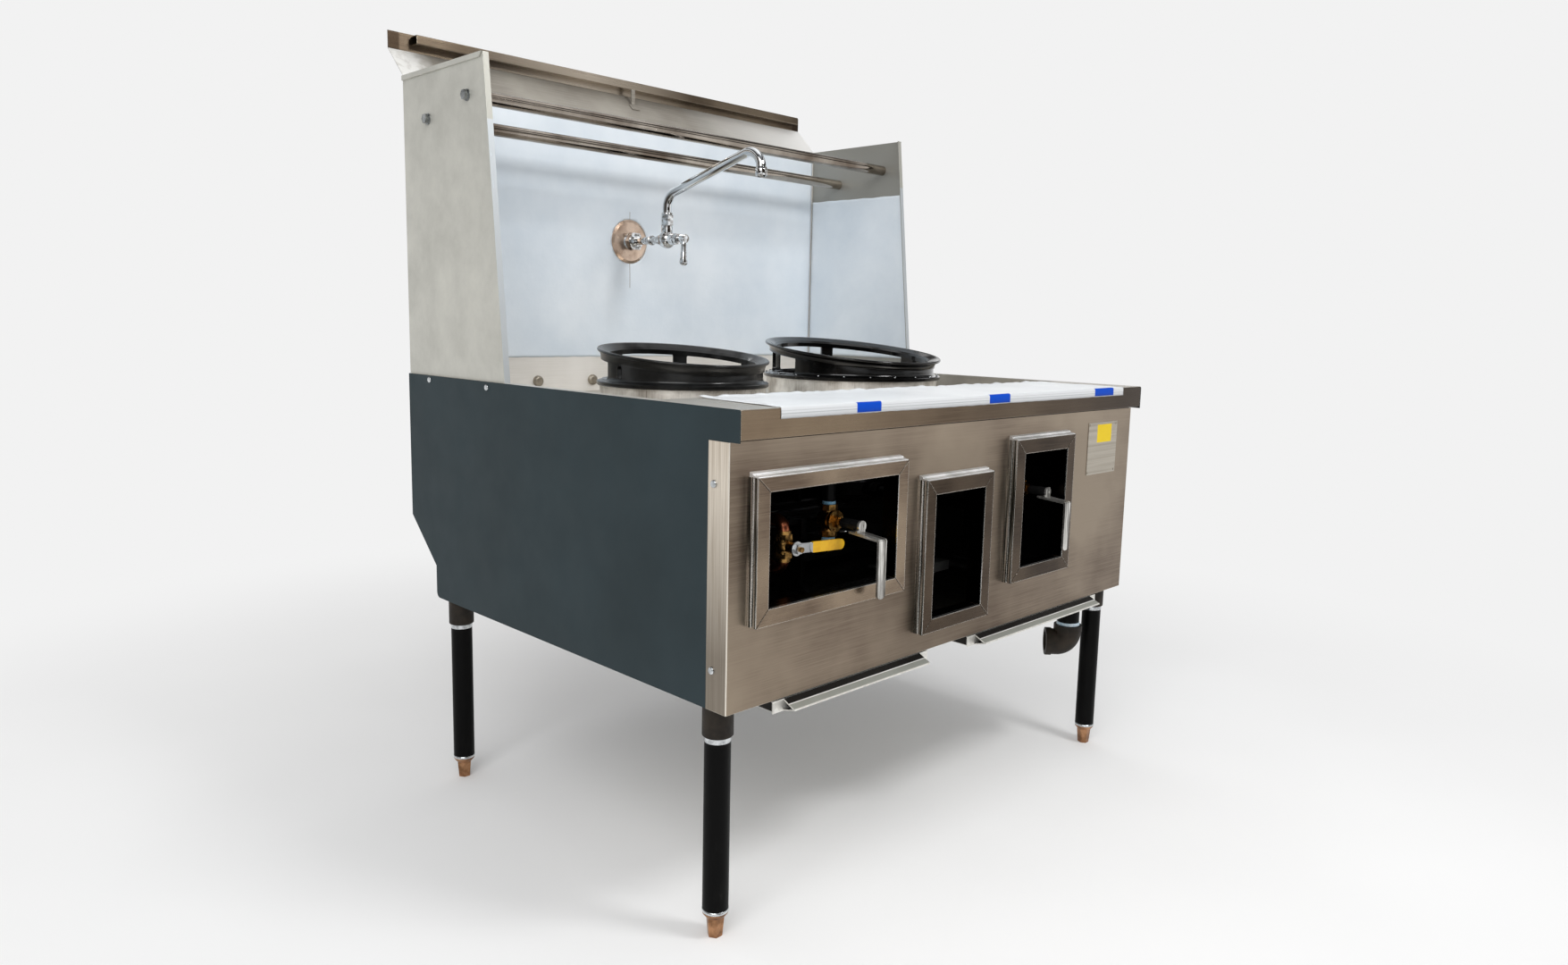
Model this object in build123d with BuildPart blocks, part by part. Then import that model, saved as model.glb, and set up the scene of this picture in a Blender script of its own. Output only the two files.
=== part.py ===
from build123d import *
import math
import os

os.makedirs("parts", exist_ok=True)

# ---------------------------------------------------------------- driving dimensions (mm)
# Lengths are measured from the left end of the body (x), from the front panel (y)
# and from the floor (z); X() and Y() bring them into the part's own frame, whose
# origin is the bottom centre of the whole range.
BODY_W = 1219.2            # 48 in body
BODY_D = 1005.0            # front panel to back of body
FRONT = -527.0             # front panel's outer face in the part's frame
BODY_BOTTOM = 385.0        # underside of the panels
RIM_Z = 846.0              # top of the side panels and of the front rail
DECK_Z = 796.0             # recessed deck
SHEET = 2.0                # folded stainless sheet
NOTCH_Y = BODY_D - 102     # the back steps in below this height
NOTCH_Z = 452.0

RAIL_PROUD = 21.0          # front rail stands this far in front of the panel
RAIL_BACK = 186.0          # depth of the flat shelf behind it
RAIL_H = 45.0

SPLASH_Y = 1006.0          # face of the back splash
WING_X = 6.0               # outer face of each wing, from the body's end
WING_TOP = 1446.0
WING_BACK = 1010.0
WING_FRONT_TOP = 691.0
WING_FRONT_BOTTOM = 630.5
HEM = 9.5                  # folded hem along the top of a wing

TOPRAIL_Y = 1072.0         # front face of the top rail
TOPRAIL_D = 27.0
TOPRAIL_Z = 1511.0
TOPRAIL_H = 35.0

ROD_R = 12.7               # 1 in rack rods
ROD_POS = ((750.0, 1376.0), (906.0, 1350.0))

BURNER_X = (320.0, 898.0)
BURNER_Y = (493.0, 561.0)
SHROUD_R = (163.0, 203.5)  # 13 in and 16 in chambers
FLANGE_R = (168.6, 211.0)
RING_WALL = (11.5, 16.0)   # step from the flange's edge in to the wall
FLANGE_Z = 842.6           # top of the shrouds
RIM_MID = (901.9, 906.6)   # height of the slanted rims at mid depth
RIM_TILT = (5.6, 6.5)      # degrees, high at the back
RING_WINDOWS = (           # start and end of each opening, degrees from the right
    ((-2, 48), (59, 107), (118, 165)),
    ((0, 57), (66, 112), (124, 180)),
)
CROWN_R = (62.0, 80.0)     # jet burners

WINDOWS = {                # x0, x1, z0, z1 of each frame's outline, then of its opening
    "window_frame_left": ((40.0, 393.0, 516.0, 744.0), (65.5, 368.0, 542.0, 721.0)),
    "window_frame_middle": ((449.0, 653.0, 424.5, 702.5), (475.0, 627.0, 449.0, 675.5)),
    "window_frame_right": ((728.0, 945.0, 473.0, 755.5), (758.0, 917.0, 500.0, 727.5)),
}
FRAME_PROUD = 20.0

VALVE_X = (303.5, 889.0)   # main gas valves, one for each burner
VALVE_Z = 636.5
VALVE_Y = 80.0             # vertical gas pipe through each valve
GAS_DROP_R = 10.65         # 1/2 in pipe
LEVER_DROP = 522.0         # lower end of a knee lever
LEVER_FRONT = 45.0         # how far a knee lever reaches in front of the panel

LEG_X = (29.5, BODY_W - 29.5)
LEG_Y = (50.0, 857.0)
LEG_R = 21.1               # 1-1/4 in pipe
COUPLING_R = 24.8
COUPLING_Z = 334.0
PIPE_BOTTOM = 42.0

TRAYS = {                  # x0, x1 of the front, x1 of the tray itself
    "drip_tray_left": (99.0, 494.0, 494.0),
    "drip_tray_right": (620.0, 1108.0, 1074.0),
}
TRAY_DEPTH = 640.0
TRAY_TOP = 383.0
TRAY_H = 20.0

FAUCET_X = 569.0
FAUCET_Z = 1155.0
BALL_Y = 860.0
NOZZLE_X = (309.6, 459.6, 609.6, 759.6, 909.6)
NOZZLE_Z = 822.0


def X(x):
    return x - BODY_W / 2


def Y(y):
    return y + FRONT


def yz(points):
    return [(Y(y), z) for y, z in points]


def side(x):
    """Plane across the range at x, sketched in (Y, Z)."""
    return Plane.YZ.offset(X(x))


def front(y):
    """Plane parallel to the front panel at y, sketched in (X, Z), facing the cook."""
    return Plane.XZ.offset(-Y(y))


pieces = {}

# ---------------------------------------------------------------- cabinet
with BuildPart() as left_side_panel:
    with BuildSketch(side(0)):
        with BuildLine():
            Polyline(*yz([
                (-RAIL_PROUD, RIM_Z), (BODY_D, RIM_Z), (BODY_D, NOTCH_Z + 94),
                (NOTCH_Y, NOTCH_Z), (NOTCH_Y, BODY_BOTTOM), (46.4, BODY_BOTTOM), (46.4, 797.6),
                (-RAIL_PROUD, 797.6)]), close=True)
        make_face()
    extrude(amount=SHEET)
    corners = left_side_panel.edges().filter_by(Axis.X).group_by(Axis.Z)[0].sort_by(Axis.Y)
    fillet(corners[-1:], min(12, (BODY_D - NOTCH_Y) / 8))
    front_corner = left_side_panel.edges().filter_by(Axis.X).group_by(Axis.Y)[0].sort_by(Axis.Z)
    fillet(front_corner[-1:], 4)
pieces["left_side_panel"] = left_side_panel

with BuildPart() as right_side_panel:
    mirror(left_side_panel.part, about=Plane.YZ)
pieces["right_side_panel"] = right_side_panel

with BuildPart() as front_panel:
    with BuildSketch(front(0)):
        with Locations((0, (BODY_BOTTOM + 797) / 2)):
            Rectangle(BODY_W, 797 - BODY_BOTTOM)
    extrude(amount=-SHEET)
    # return flanges wrap round the ends of the side panels
    with BuildSketch(side(0)):
        with Locations((Y(23), (BODY_BOTTOM + 797) / 2)):
            Rectangle(46, 797 - BODY_BOTTOM)
    extrude(amount=SHEET)
    with BuildSketch(side(BODY_W)):
        with Locations((Y(23), (BODY_BOTTOM + 797) / 2)):
            Rectangle(46, 797 - BODY_BOTTOM)
    extrude(amount=-SHEET)
    # bottom lip folded in
    with BuildSketch(front(0)):
        with Locations((0, BODY_BOTTOM + SHEET / 2)):
            Rectangle(BODY_W - 130, SHEET)
    extrude(amount=-14)
    for outline, (x0, x1, z0, z1) in WINDOWS.values():
        with BuildSketch(front(-1)):
            with Locations((X((x0 + x1) / 2), (z0 + z1) / 2)):
                Rectangle(x1 - x0 + 4.2, z1 - z0 + 4.2)
        extrude(amount=-6, mode=Mode.SUBTRACT)
    vertical = front_panel.edges().filter_by(Axis.Z)
    fillet(vertical.group_by(Axis.Y)[0].sort_by(Axis.X)[:1], 1.8)
    fillet(front_panel.edges().filter_by(Axis.Z).group_by(Axis.Y)[0].sort_by(Axis.X)[-1:], 1.8)
pieces["front_panel"] = front_panel

# mitred channel frames round the three inspection windows
for name, (outline, opening) in WINDOWS.items():
    (x0, x1, z0, z1), (u0, u1, w0, w1) = outline, opening
    centre, size = (X((x0 + x1) / 2), (z0 + z1) / 2), (x1 - x0, z1 - z0)
    hole_centre, hole = (X((u0 + u1) / 2), (w0 + w1) / 2), (u1 - u0, w1 - w0)
    with BuildPart() as window_frame:
        with BuildSketch(front(-FRAME_PROUD)):
            with Locations(centre):
                Rectangle(*size)
            with Locations(hole_centre):
                Rectangle(*hole, mode=Mode.SUBTRACT)
        extrude(amount=-SHEET)
        # outer wall of the channel, a shallow groove runs round its middle
        with BuildSketch(front(-FRAME_PROUD + SHEET)):
            with Locations(centre):
                Rectangle(*size)
                Rectangle(size[0] - 6, size[1] - 6, mode=Mode.SUBTRACT)
        extrude(amount=-(FRAME_PROUD - SHEET))
        with BuildSketch(front(-12)):
            with Locations(centre):
                Rectangle(size[0] + 1, size[1] + 1)
                Rectangle(size[0] - 3.4, size[1] - 3.4, mode=Mode.SUBTRACT)
        extrude(amount=-3.4, mode=Mode.SUBTRACT)
        # inner wall runs back through the panel
        with BuildSketch(front(-FRAME_PROUD + SHEET)):
            with Locations(hole_centre):
                Rectangle(hole[0] + 4, hole[1] + 4)
                Rectangle(*hole, mode=Mode.SUBTRACT)
        extrude(amount=-(FRAME_PROUD - SHEET + 14))
        # mitre joints on the face, from each outer corner to the opening's corner
        for xa, xb in ((x0, u0), (x1, u1)):
            for za, zb in ((z0, w0), (z1, w1)):
                run, rise = xb - xa, zb - za
                with BuildSketch(front(-FRAME_PROUD - 0.5)):
                    with Locations((X((xa + xb) / 2), (za + zb) / 2)):
                        Rectangle(math.hypot(run, rise) - 2, 1.0,
                                  rotation=math.degrees(math.atan2(rise, run)))
                extrude(amount=-1.2, mode=Mode.SUBTRACT)
    pieces[name] = window_frame

with BuildPart() as front_rail:
    with BuildSketch(side(2.3)):
        with BuildLine():
            Polyline(*yz([
                (-RAIL_PROUD, RIM_Z - RAIL_H), (-RAIL_PROUD, RIM_Z), (RAIL_BACK, RIM_Z),
                (RAIL_BACK, DECK_Z), (RAIL_BACK - SHEET, DECK_Z),
                (RAIL_BACK - SHEET, RIM_Z - SHEET), (-RAIL_PROUD + SHEET, RIM_Z - SHEET),
                (-RAIL_PROUD + SHEET, RIM_Z - RAIL_H + SHEET),
                (20, RIM_Z - RAIL_H + SHEET), (20, RIM_Z - RAIL_H)]), close=True)
        make_face()
    extrude(amount=BODY_W - 4.6)
    nose = front_rail.edges().filter_by(Axis.X).group_by(Axis.Y)[0]
    fillet(nose, 1.8)
pieces["front_rail"] = front_rail

with BuildPart() as rear_panel:
    with BuildSketch(side(2.3)):
        with BuildLine():
            Polyline(*yz([
                (BODY_D - SHEET, 791), (BODY_D, 791), (BODY_D, NOTCH_Z + 94),
                (NOTCH_Y, NOTCH_Z), (NOTCH_Y, 388), (NOTCH_Y - SHEET, 388),
                (NOTCH_Y - SHEET, NOTCH_Z + 0.8), (BODY_D - SHEET, NOTCH_Z + 94.8)]),
                close=True)
        make_face()
    extrude(amount=BODY_W - 4.6)
    with BuildSketch(front(BODY_D + 5)):
        for x, z, r in ((60, 752, 24), (194, 647, 14), (194, 568, 14)):
            with Locations((X(x), z)):
                Circle(r)
    extrude(amount=20, mode=Mode.SUBTRACT)
    # cooling louvre slots
    with BuildSketch(front(BODY_D + 5)):
        with Locations(*[(X(x), z) for x in (400, 610, 820) for z in (690, 710, 730)]):
            SlotOverall(120, 7)
    extrude(amount=20, mode=Mode.SUBTRACT)
pieces["rear_panel"] = rear_panel

# welded frame inside: bottom ring of angle, corner posts, burner bars, leg pads
FRAME_W, FRAME_D = BODY_W - 6.0, NOTCH_Y - 9.0
FRAME_Y = 5 + FRAME_D / 2
with BuildPart() as base_frame:
    with BuildSketch(Plane.XY.offset(387.5)):
        with Locations((0, Y(FRAME_Y))):
            Rectangle(FRAME_W, FRAME_D)
            Rectangle(FRAME_W - 60, FRAME_D - 60, mode=Mode.SUBTRACT)
    extrude(amount=3)
    with BuildSketch(Plane.XY.offset(390.5)):
        with Locations((0, Y(FRAME_Y))):
            Rectangle(FRAME_W, FRAME_D)
            Rectangle(FRAME_W - 6, FRAME_D - 6, mode=Mode.SUBTRACT)
    extrude(amount=28)
    # corner posts
    with BuildSketch(Plane.XY.offset(390.5)):
        for sx in (-1, 1):
            for y, s in ((5, 1), (5 + FRAME_D, -1)):
                with Locations((sx * (FRAME_W / 2 - 15), Y(y + 1.5 * s))):
                    Rectangle(30, 3)
                with Locations((sx * (FRAME_W / 2 - 1.5), Y(y + 15 * s))):
                    Rectangle(3, 30)
    extrude(amount=786 - 390.5)
    # top ring that carries the deck
    with BuildSketch(Plane.XY.offset(786)):
        with Locations((0, Y((150 + BODY_D - 6) / 2))):
            Rectangle(FRAME_W, BODY_D - 156)
        with Locations((0, Y((186 + BODY_D - 26) / 2))):
            Rectangle(FRAME_W - 50, BODY_D - 212, mode=Mode.SUBTRACT)
    extrude(amount=7.6)
    with BuildSketch(Plane.XY.offset(780)):
        for sx in (-1, 1):
            with Locations((sx * (FRAME_W / 2 - 12.5), Y(FRAME_Y))):
                Rectangle(25, FRAME_D)
    extrude(amount=6)
    # bars under the burners, carried by uprights at the ends and in the middle
    with BuildSketch(Plane.XY.offset(536)):
        for sx, y in zip((-1, 1), BURNER_Y):
            with Locations((sx * FRAME_W / 4, Y(y - 40)), (sx * FRAME_W / 4, Y(y + 40))):
                Rectangle(FRAME_W / 2, 20)
    extrude(amount=12)
    with BuildSketch(Plane.XY.offset(390.5)):
        for x in (-FRAME_W / 2 + 6, 0, FRAME_W / 2 - 6):
            with Locations((x, Y(527))):
                Rectangle(12, 190)
    extrude(amount=157)
    with BuildSketch(Plane.XY.offset(387.5)):
        with Locations((0, Y(FRAME_Y))):
            Rectangle(28, FRAME_D - 4)
    extrude(amount=6)
    # angle shelf seen through the middle window
    with BuildSketch(side(470)):
        with BuildLine():
            Polyline(*yz([(60, 503), (60, 521), (130, 521), (130, 518), (63, 518),
                          (63, 503)]), close=True)
        make_face()
    extrude(amount=162)
    with BuildSketch(side(566)):
        with BuildLine():
            Polyline(*yz([(20, 387.5), (20, 393), (63, 393), (63, 519), (75, 519),
                          (75, 387.5)]), close=True)
        make_face()
    extrude(amount=-22)
    # leg pads
    with BuildSketch(Plane.XY.offset(387.5)):
        for sx in (-1, 1):
            for y in LEG_Y:
                with Locations((sx * (BODY_W / 2 - 40), Y(y - (0 if y > 400 else 6)))):
                    Rectangle(70, 76)
    extrude(amount=6)
pieces["base_frame"] = base_frame

# ---------------------------------------------------------------- deck
DECK_X0, DECK_X1 = 20.0, BODY_W - 20.0
DECK_Y0, DECK_Y1 = RAIL_BACK + 0.3, SPLASH_Y - 0.3
GUTTER = (BODY_W / 2 - 49.6, 60.0, 18.0)      # half length, width, depth
DRAIN_X, DRAIN_Y = BODY_W - 112.2, 62.0
with BuildPart() as deck:
    with BuildSketch(Plane.XY.offset(DECK_Z - SHEET)):
        with Locations((0, Y((DECK_Y0 + DECK_Y1) / 2))):
            Rectangle(DECK_X1 - DECK_X0, DECK_Y1 - DECK_Y0)
    extrude(amount=SHEET)
    # end walls and rims
    for sx in (-1, 1):
        with BuildSketch(Plane.XY.offset(DECK_Z - SHEET)):
            with Locations((sx * (BODY_W / 2 - 21), Y((DECK_Y0 + DECK_Y1) / 2))):
                Rectangle(SHEET, DECK_Y1 - DECK_Y0)
        extrude(amount=RIM_Z - DECK_Z + SHEET)
        with BuildSketch(Plane.XY.offset(RIM_Z - SHEET)):
            with Locations((sx * (BODY_W / 2 - 12.15), Y((DECK_Y0 + DECK_Y1) / 2))):
                Rectangle(19.7, DECK_Y1 - DECK_Y0)
        extrude(amount=SHEET)
    # gutter along the front, with a drain hole near its right end
    with BuildSketch(Plane.XY.offset(DECK_Z - SHEET - GUTTER[2])):
        with Locations((0, Y(226))):
            Rectangle(2 * GUTTER[0], GUTTER[1])
    extrude(amount=GUTTER[2] + SHEET)
    with BuildSketch(Plane.XY.offset(DECK_Z - GUTTER[2])):
        with Locations((0, Y(226))):
            Rectangle(2 * GUTTER[0] - 2 * SHEET, GUTTER[1] - 2 * SHEET)
    extrude(amount=GUTTER[2] + 1, mode=Mode.SUBTRACT)
    with BuildSketch(Plane.XY.offset(DECK_Z - 30)):
        with Locations((X(DRAIN_X), Y(226))):
            Circle(24.4)
        for cx, cy, r in zip(BURNER_X, BURNER_Y, SHROUD_R):
            with Locations((X(cx), Y(cy))):
                Circle(r - 8)
    extrude(amount=60, mode=Mode.SUBTRACT)
pieces["deck"] = deck

with BuildPart() as drain_strainer:
    with BuildSketch(Plane.XY.offset(DECK_Z - GUTTER[2])):
        with Locations((X(DRAIN_X), Y(226))):
            Circle(27.5)
    extrude(amount=1.6)
    with BuildSketch(Plane.XY.offset(DECK_Z - GUTTER[2] - 8)):
        with Locations((X(DRAIN_X), Y(226))):
            Circle(20.0)
            Circle(18.4, mode=Mode.SUBTRACT)
    extrude(amount=8)
    with BuildSketch(Plane.XY.offset(DECK_Z - GUTTER[2] - 1)):
        with Locations((X(DRAIN_X), Y(226))):
            with PolarLocations(11.5, 8):
                Circle(2.6)
            Circle(2.6)
    extrude(amount=4, mode=Mode.SUBTRACT)
pieces["drain_strainer"] = drain_strainer

# drain: down from the gutter, forward over the leg pad, down past the body to an elbow
DRAIN_R = 24.15
ELBOW_Z = 262.0
with BuildPart() as drain_pipe:
    with BuildLine() as drain_route:
        FilletPolyline(
            (X(DRAIN_X), Y(226), DECK_Z - GUTTER[2] - SHEET - 0.2),
            (X(DRAIN_X), Y(226), 708), (X(DRAIN_X), Y(DRAIN_Y), 640),
            (X(DRAIN_X), Y(DRAIN_Y), ELBOW_Z), radius=46)
    with BuildSketch(Plane(drain_route.line @ 0, z_dir=drain_route.line % 0)):
        Circle(DRAIN_R)
        Circle(DRAIN_R - 3.6, mode=Mode.SUBTRACT)
    sweep()
pieces["drain_pipe"] = drain_pipe

with BuildPart() as drain_elbow:
    aim = Vector(-0.62, 0.78, 0).normalized()
    elbow_top = Vector(X(DRAIN_X), Y(DRAIN_Y), ELBOW_Z + 38)
    elbow_mid = Vector(X(DRAIN_X), Y(DRAIN_Y), ELBOW_Z - 4)
    elbow_end = elbow_mid + aim * 50
    with BuildLine() as elbow_route:
        FilletPolyline(elbow_top, elbow_mid, elbow_end, radius=26)
    with BuildSketch(Plane(elbow_top, z_dir=(0, 0, -1))):
        Circle(29.5)
    sweep()
    # bands at the two mouths
    with BuildSketch(Plane(elbow_top, z_dir=(0, 0, -1))):
        Circle(31.5)
    extrude(amount=13)
    with BuildSketch(Plane(elbow_end, z_dir=(-aim.X, -aim.Y, 0))):
        Circle(31.5)
    extrude(amount=13)
    # bore
    with BuildSketch(Plane(elbow_top + (0, 0, 1), z_dir=(0, 0, -1))):
        Circle(DRAIN_R + 0.05)
    extrude(amount=40, mode=Mode.SUBTRACT)
    # socket for the waste pipe, then a narrower way through that stops short of the drain pipe
    for r, depth in ((22.0, 23.0), (18.0, 41.0)):
        with BuildSketch(Plane(elbow_end + aim, z_dir=(-aim.X, -aim.Y, 0))):
            Circle(r)
        extrude(amount=depth, mode=Mode.SUBTRACT)
pieces["drain_elbow"] = drain_elbow

# ---------------------------------------------------------------- burners and wok rings
for i, word in enumerate(("left", "right")):
    cx, cy = X(BURNER_X[i]), Y(BURNER_Y[i])
    rs, rf, crown = SHROUD_R[i], FLANGE_R[i], CROWN_R[i]
    with BuildPart() as shroud:
        with BuildSketch(Plane.XY.offset(DECK_Z)):
            with Locations((cx, cy)):
                Circle(rs)
                Circle(rs - SHEET, mode=Mode.SUBTRACT)
        extrude(amount=FLANGE_Z - DECK_Z)
        # rolled top edge
        with BuildSketch(Plane.XY.offset(FLANGE_Z - 3)):
            with Locations((cx, cy)):
                Circle(rs + 1.2)
                Circle(rs - 3.2, mode=Mode.SUBTRACT)
        extrude(amount=3)
    pieces["chamber_shroud_" + word] = shroud

    # fire chamber: a heavy cast cone that narrows down to the burner
    throat = rs * 0.72
    with BuildPart() as liner:
        with BuildSketch(Plane.XZ):
            with BuildLine():
                Polyline(
                    (rs - 16, FLANGE_Z - 1), (rs - 3.6, FLANGE_Z - 1),
                    (rs - 3.6, FLANGE_Z - 7), (rs - 9, FLANGE_Z - 13), (rs - 10, 790),
                    (throat, 694), (throat - 12, 694), (rs - 22, 792),
                    (rs - 21, FLANGE_Z - 11), close=True)
            make_face()
        revolve(axis=Axis.Z)
        # legs that stand on the burner bars
        with BuildSketch(Plane.XY.offset(548)):
            reach = math.sqrt((throat - 6) ** 2 - 40 ** 2)
            with Locations(*[(sx * reach, sy * 40) for sx in (-1, 1) for sy in (-1, 1)]):
                Rectangle(11, 14)
        extrude(amount=150)
    with BuildPart() as chamber:
        add(liner.part.moved(Location((cx, cy, 0))))
    pieces["fire_chamber_" + word] = chamber

    # jet burner: mixing bowl, crown plate and upright jets
    jets = (16, 10, 4) if i == 0 else (20, 14, 8)
    with BuildPart() as burner:
        with BuildSketch(Plane.XZ):
            with BuildLine():
                Polyline(
                    (0, 556), (crown * 0.6, 556), (crown * 0.86, 566), (crown * 0.92, 596),
                    (crown + 8, 600), (crown + 8, 612), (crown * 0.3, 616), (0, 616),
                    close=True)
            make_face()
        revolve(axis=Axis.Z)
        with BuildSketch(Plane.XY.offset(610)):
            for inset, count in zip((6, 28, 48), jets):
                with PolarLocations(crown - inset, count):
                    Circle(7)
        extrude(amount=44)
        with BuildSketch(Plane.XY.offset(640)):
            for inset, count in zip((6, 28, 48), jets):
                with PolarLocations(crown - inset, count):
                    Circle(2.6)
        extrude(amount=20, mode=Mode.SUBTRACT)
        # gas comes in through a boss on the cook's side
        with BuildSketch(Plane.XZ.offset(crown + 14)):
            with Locations((VALVE_X[i] - BURNER_X[i], 581)):
                Circle(17)
        extrude(amount=-(crown + 14))
        # feet on the burner bars
        with BuildSketch(Plane.XY.offset(548)):
            with Locations((0, 40), (0, -40)):
                Rectangle(crown * 0.9, 16)
        extrude(amount=12)
    with BuildPart() as burner_placed:
        add(burner.part.moved(Location((cx, cy, 0))))
    pieces["burner_" + word] = burner_placed

    # wok ring: flat base flange, pierced wall, rim slanted up towards the back
    tilt, mid = RIM_TILT[i], RIM_MID[i]
    wall = rf - RING_WALL[i]
    slant = Plane(origin=(0, 0, mid - 15), z_dir=(0, -math.sin(math.radians(tilt)),
                                                 math.cos(math.radians(tilt))))
    with BuildPart() as windows:
        for a0, a1 in RING_WINDOWS[i]:
            with BuildPart(mode=Mode.PRIVATE) as opening:
                with BuildSketch(Plane.XZ):
                    with Locations((wall - 4, FLANGE_Z + 12 + 52)):
                        Rectangle(44, 104)
                revolve(axis=Axis.Z, revolution_arc=a1 - a0)
            start = a0 if opening.part.center().Y > 0 else a1
            with BuildPart(mode=Mode.PRIVATE) as rounded:
                add(opening.part.rotate(Axis.Z, start))
                split(bisect_by=slant, keep=Keep.BOTTOM)
                corners = rounded.edges().filter_by(GeomType.LINE).filter_by(
                    lambda e: abs((e % 0.5).Z) < 0.5 and e.length > 40)
                fillet(corners, 7)
            add(rounded.part)
    with BuildPart() as ring:
        with BuildSketch(Plane.XZ):
            with BuildLine():
                foot_line = Polyline(
                    (wall - 8, 960), (wall - 8, FLANGE_Z + 10), (wall - 9, FLANGE_Z + 8),
                    (wall - 9, FLANGE_Z + 0.3), (rf - 1.5, FLANGE_Z + 0.3),
                    (rf, FLANGE_Z + 2), (rf, FLANGE_Z + 7), (rf - 2, FLANGE_Z + 8.8),
                    (wall + 6, FLANGE_Z + 9.6))
                ThreePointArc((wall + 6, FLANGE_Z + 9.6), (wall + 1.8, FLANGE_Z + 11.6),
                              (wall, FLANGE_Z + 16))
                Polyline((wall, FLANGE_Z + 16), (wall, 960), (wall - 8, 960))
            make_face()
        revolve(axis=Axis.Z)
        split(bisect_by=slant.offset(2), keep=Keep.BOTTOM)
        add(windows.part, mode=Mode.SUBTRACT)
        if i == 0:
            with BuildSketch(Plane(origin=(-(wall + 6), -4, FLANGE_Z + 28.4),
                                   x_dir=(0, -1, 0), z_dir=(-1, 0, 0))):
                SlotOverall(23, 13, rotation=96)
            extrude(amount=-22, mode=Mode.SUBTRACT)
    # the lip's root is wider than the wall all round, although the two are not parallel
    root = wall * 0.02 + 0.4
    with BuildPart() as lip:
        with BuildSketch(Plane.XZ):
            with BuildLine():
                outer = ThreePointArc((wall + root, -17.5), (wall + root + 1.4, -8.5),
                                      (rf - 3.5, -2.6))
                ThreePointArc(outer @ 1, (rf, 0.8), (rf - 3.0, 3.4))
                Polyline((rf - 3.0, 3.4), (rf - 8, 2.6), (wall - 6, -3.5),
                         (wall - 8 - root, -8), (wall - 8 - root, -17.5),
                         (wall + root, -17.5))
            make_face()
        revolve(axis=Axis.Z)
    with BuildPart() as wok_ring:
        add(ring.part)
        lip_y = -12 * math.sin(math.radians(tilt))
        add(lip.part.moved(Location((0, lip_y, mid), (tilt, 0, 0))))
    with BuildPart() as wok_ring_placed:
        add(wok_ring.part.moved(Location((cx, cy, 0))))
    pieces["wok_ring_" + word] = wok_ring_placed

# ---------------------------------------------------------------- back splash and wings
with BuildPart() as splash_panel:
    with BuildSketch(front(SPLASH_Y)):
        with Locations((0, (785 + WING_TOP) / 2)):
            Rectangle(BODY_W - 2 * WING_X - 2 * SHEET - 0.4, WING_TOP - 785)
        for x in NOZZLE_X:
            with Locations((X(x), NOZZLE_Z)):
                Circle(9.0, mode=Mode.SUBTRACT)
        with Locations((X(FAUCET_X), FAUCET_Z)):
            Circle(9.0, mode=Mode.SUBTRACT)
    extrude(amount=-SHEET)
pieces["splash_panel"] = splash_panel

with BuildPart() as left_wing:
    outline = [(WING_BACK, RIM_Z + 0.1), (WING_BACK, WING_TOP), (WING_FRONT_TOP, WING_TOP),
               (WING_FRONT_BOTTOM, RIM_Z + 0.1)]
    with BuildSketch(side(WING_X)):
        with BuildLine():
            Polyline(*yz(outline), close=True)
        make_face()
    extrude(amount=SHEET)
    # front edge folded in
    with BuildSketch(side(WING_X)):
        with BuildLine():
            Polyline(*yz([(WING_FRONT_TOP, WING_TOP), (WING_FRONT_BOTTOM, RIM_Z + 0.1),
                          (WING_FRONT_BOTTOM + 2, RIM_Z + 0.1),
                          (WING_FRONT_TOP + 2, WING_TOP)]), close=True)
        make_face()
    extrude(amount=12)
    # hem along the top, mitred at the front corner
    with BuildSketch(side(WING_X)):
        with BuildLine():
            Polyline(*yz([(WING_BACK, WING_TOP - HEM), (WING_BACK, WING_TOP),
                          (WING_FRONT_TOP + 1, WING_TOP), (WING_FRONT_TOP + 9, WING_TOP - HEM)]),
                     close=True)
        make_face()
    extrude(amount=-3)
    # flanges that it is fixed by: one behind the splash, one on the rim
    with BuildSketch(side(WING_X + SHEET)):
        with Locations((Y(1009.1), (RIM_Z + WING_TOP) / 2)):
            Rectangle(1.8, WING_TOP - RIM_Z - 4)
    extrude(amount=16)
    with BuildSketch(Plane.XY.offset(RIM_Z + 0.1)):
        with Locations((X(WING_X + 8), Y(822))):
            Rectangle(14, 366)
    extrude(amount=1.8)
    with BuildSketch(side(WING_X)):
        for y, z in ROD_POS:
            with Locations((Y(y), z)):
                Circle(5.05)
    extrude(amount=4, mode=Mode.SUBTRACT)
pieces["left_wing"] = left_wing

with BuildPart() as right_wing:
    mirror(left_wing.part, about=Plane.YZ)
pieces["right_wing"] = right_wing

with BuildPart() as leaning_panel:
    with BuildSketch(side(WING_X)):
        with BuildLine():
            Polyline(*yz([(1006.6, WING_TOP + 0.2), (1009.6, WING_TOP + 0.2),
                          (TOPRAIL_Y + 3, TOPRAIL_Z - 0.2), (TOPRAIL_Y, TOPRAIL_Z - 0.2)]),
                     close=True)
        make_face()
    extrude(amount=BODY_W - 2 * WING_X)
pieces["leaning_panel"] = leaning_panel

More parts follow.
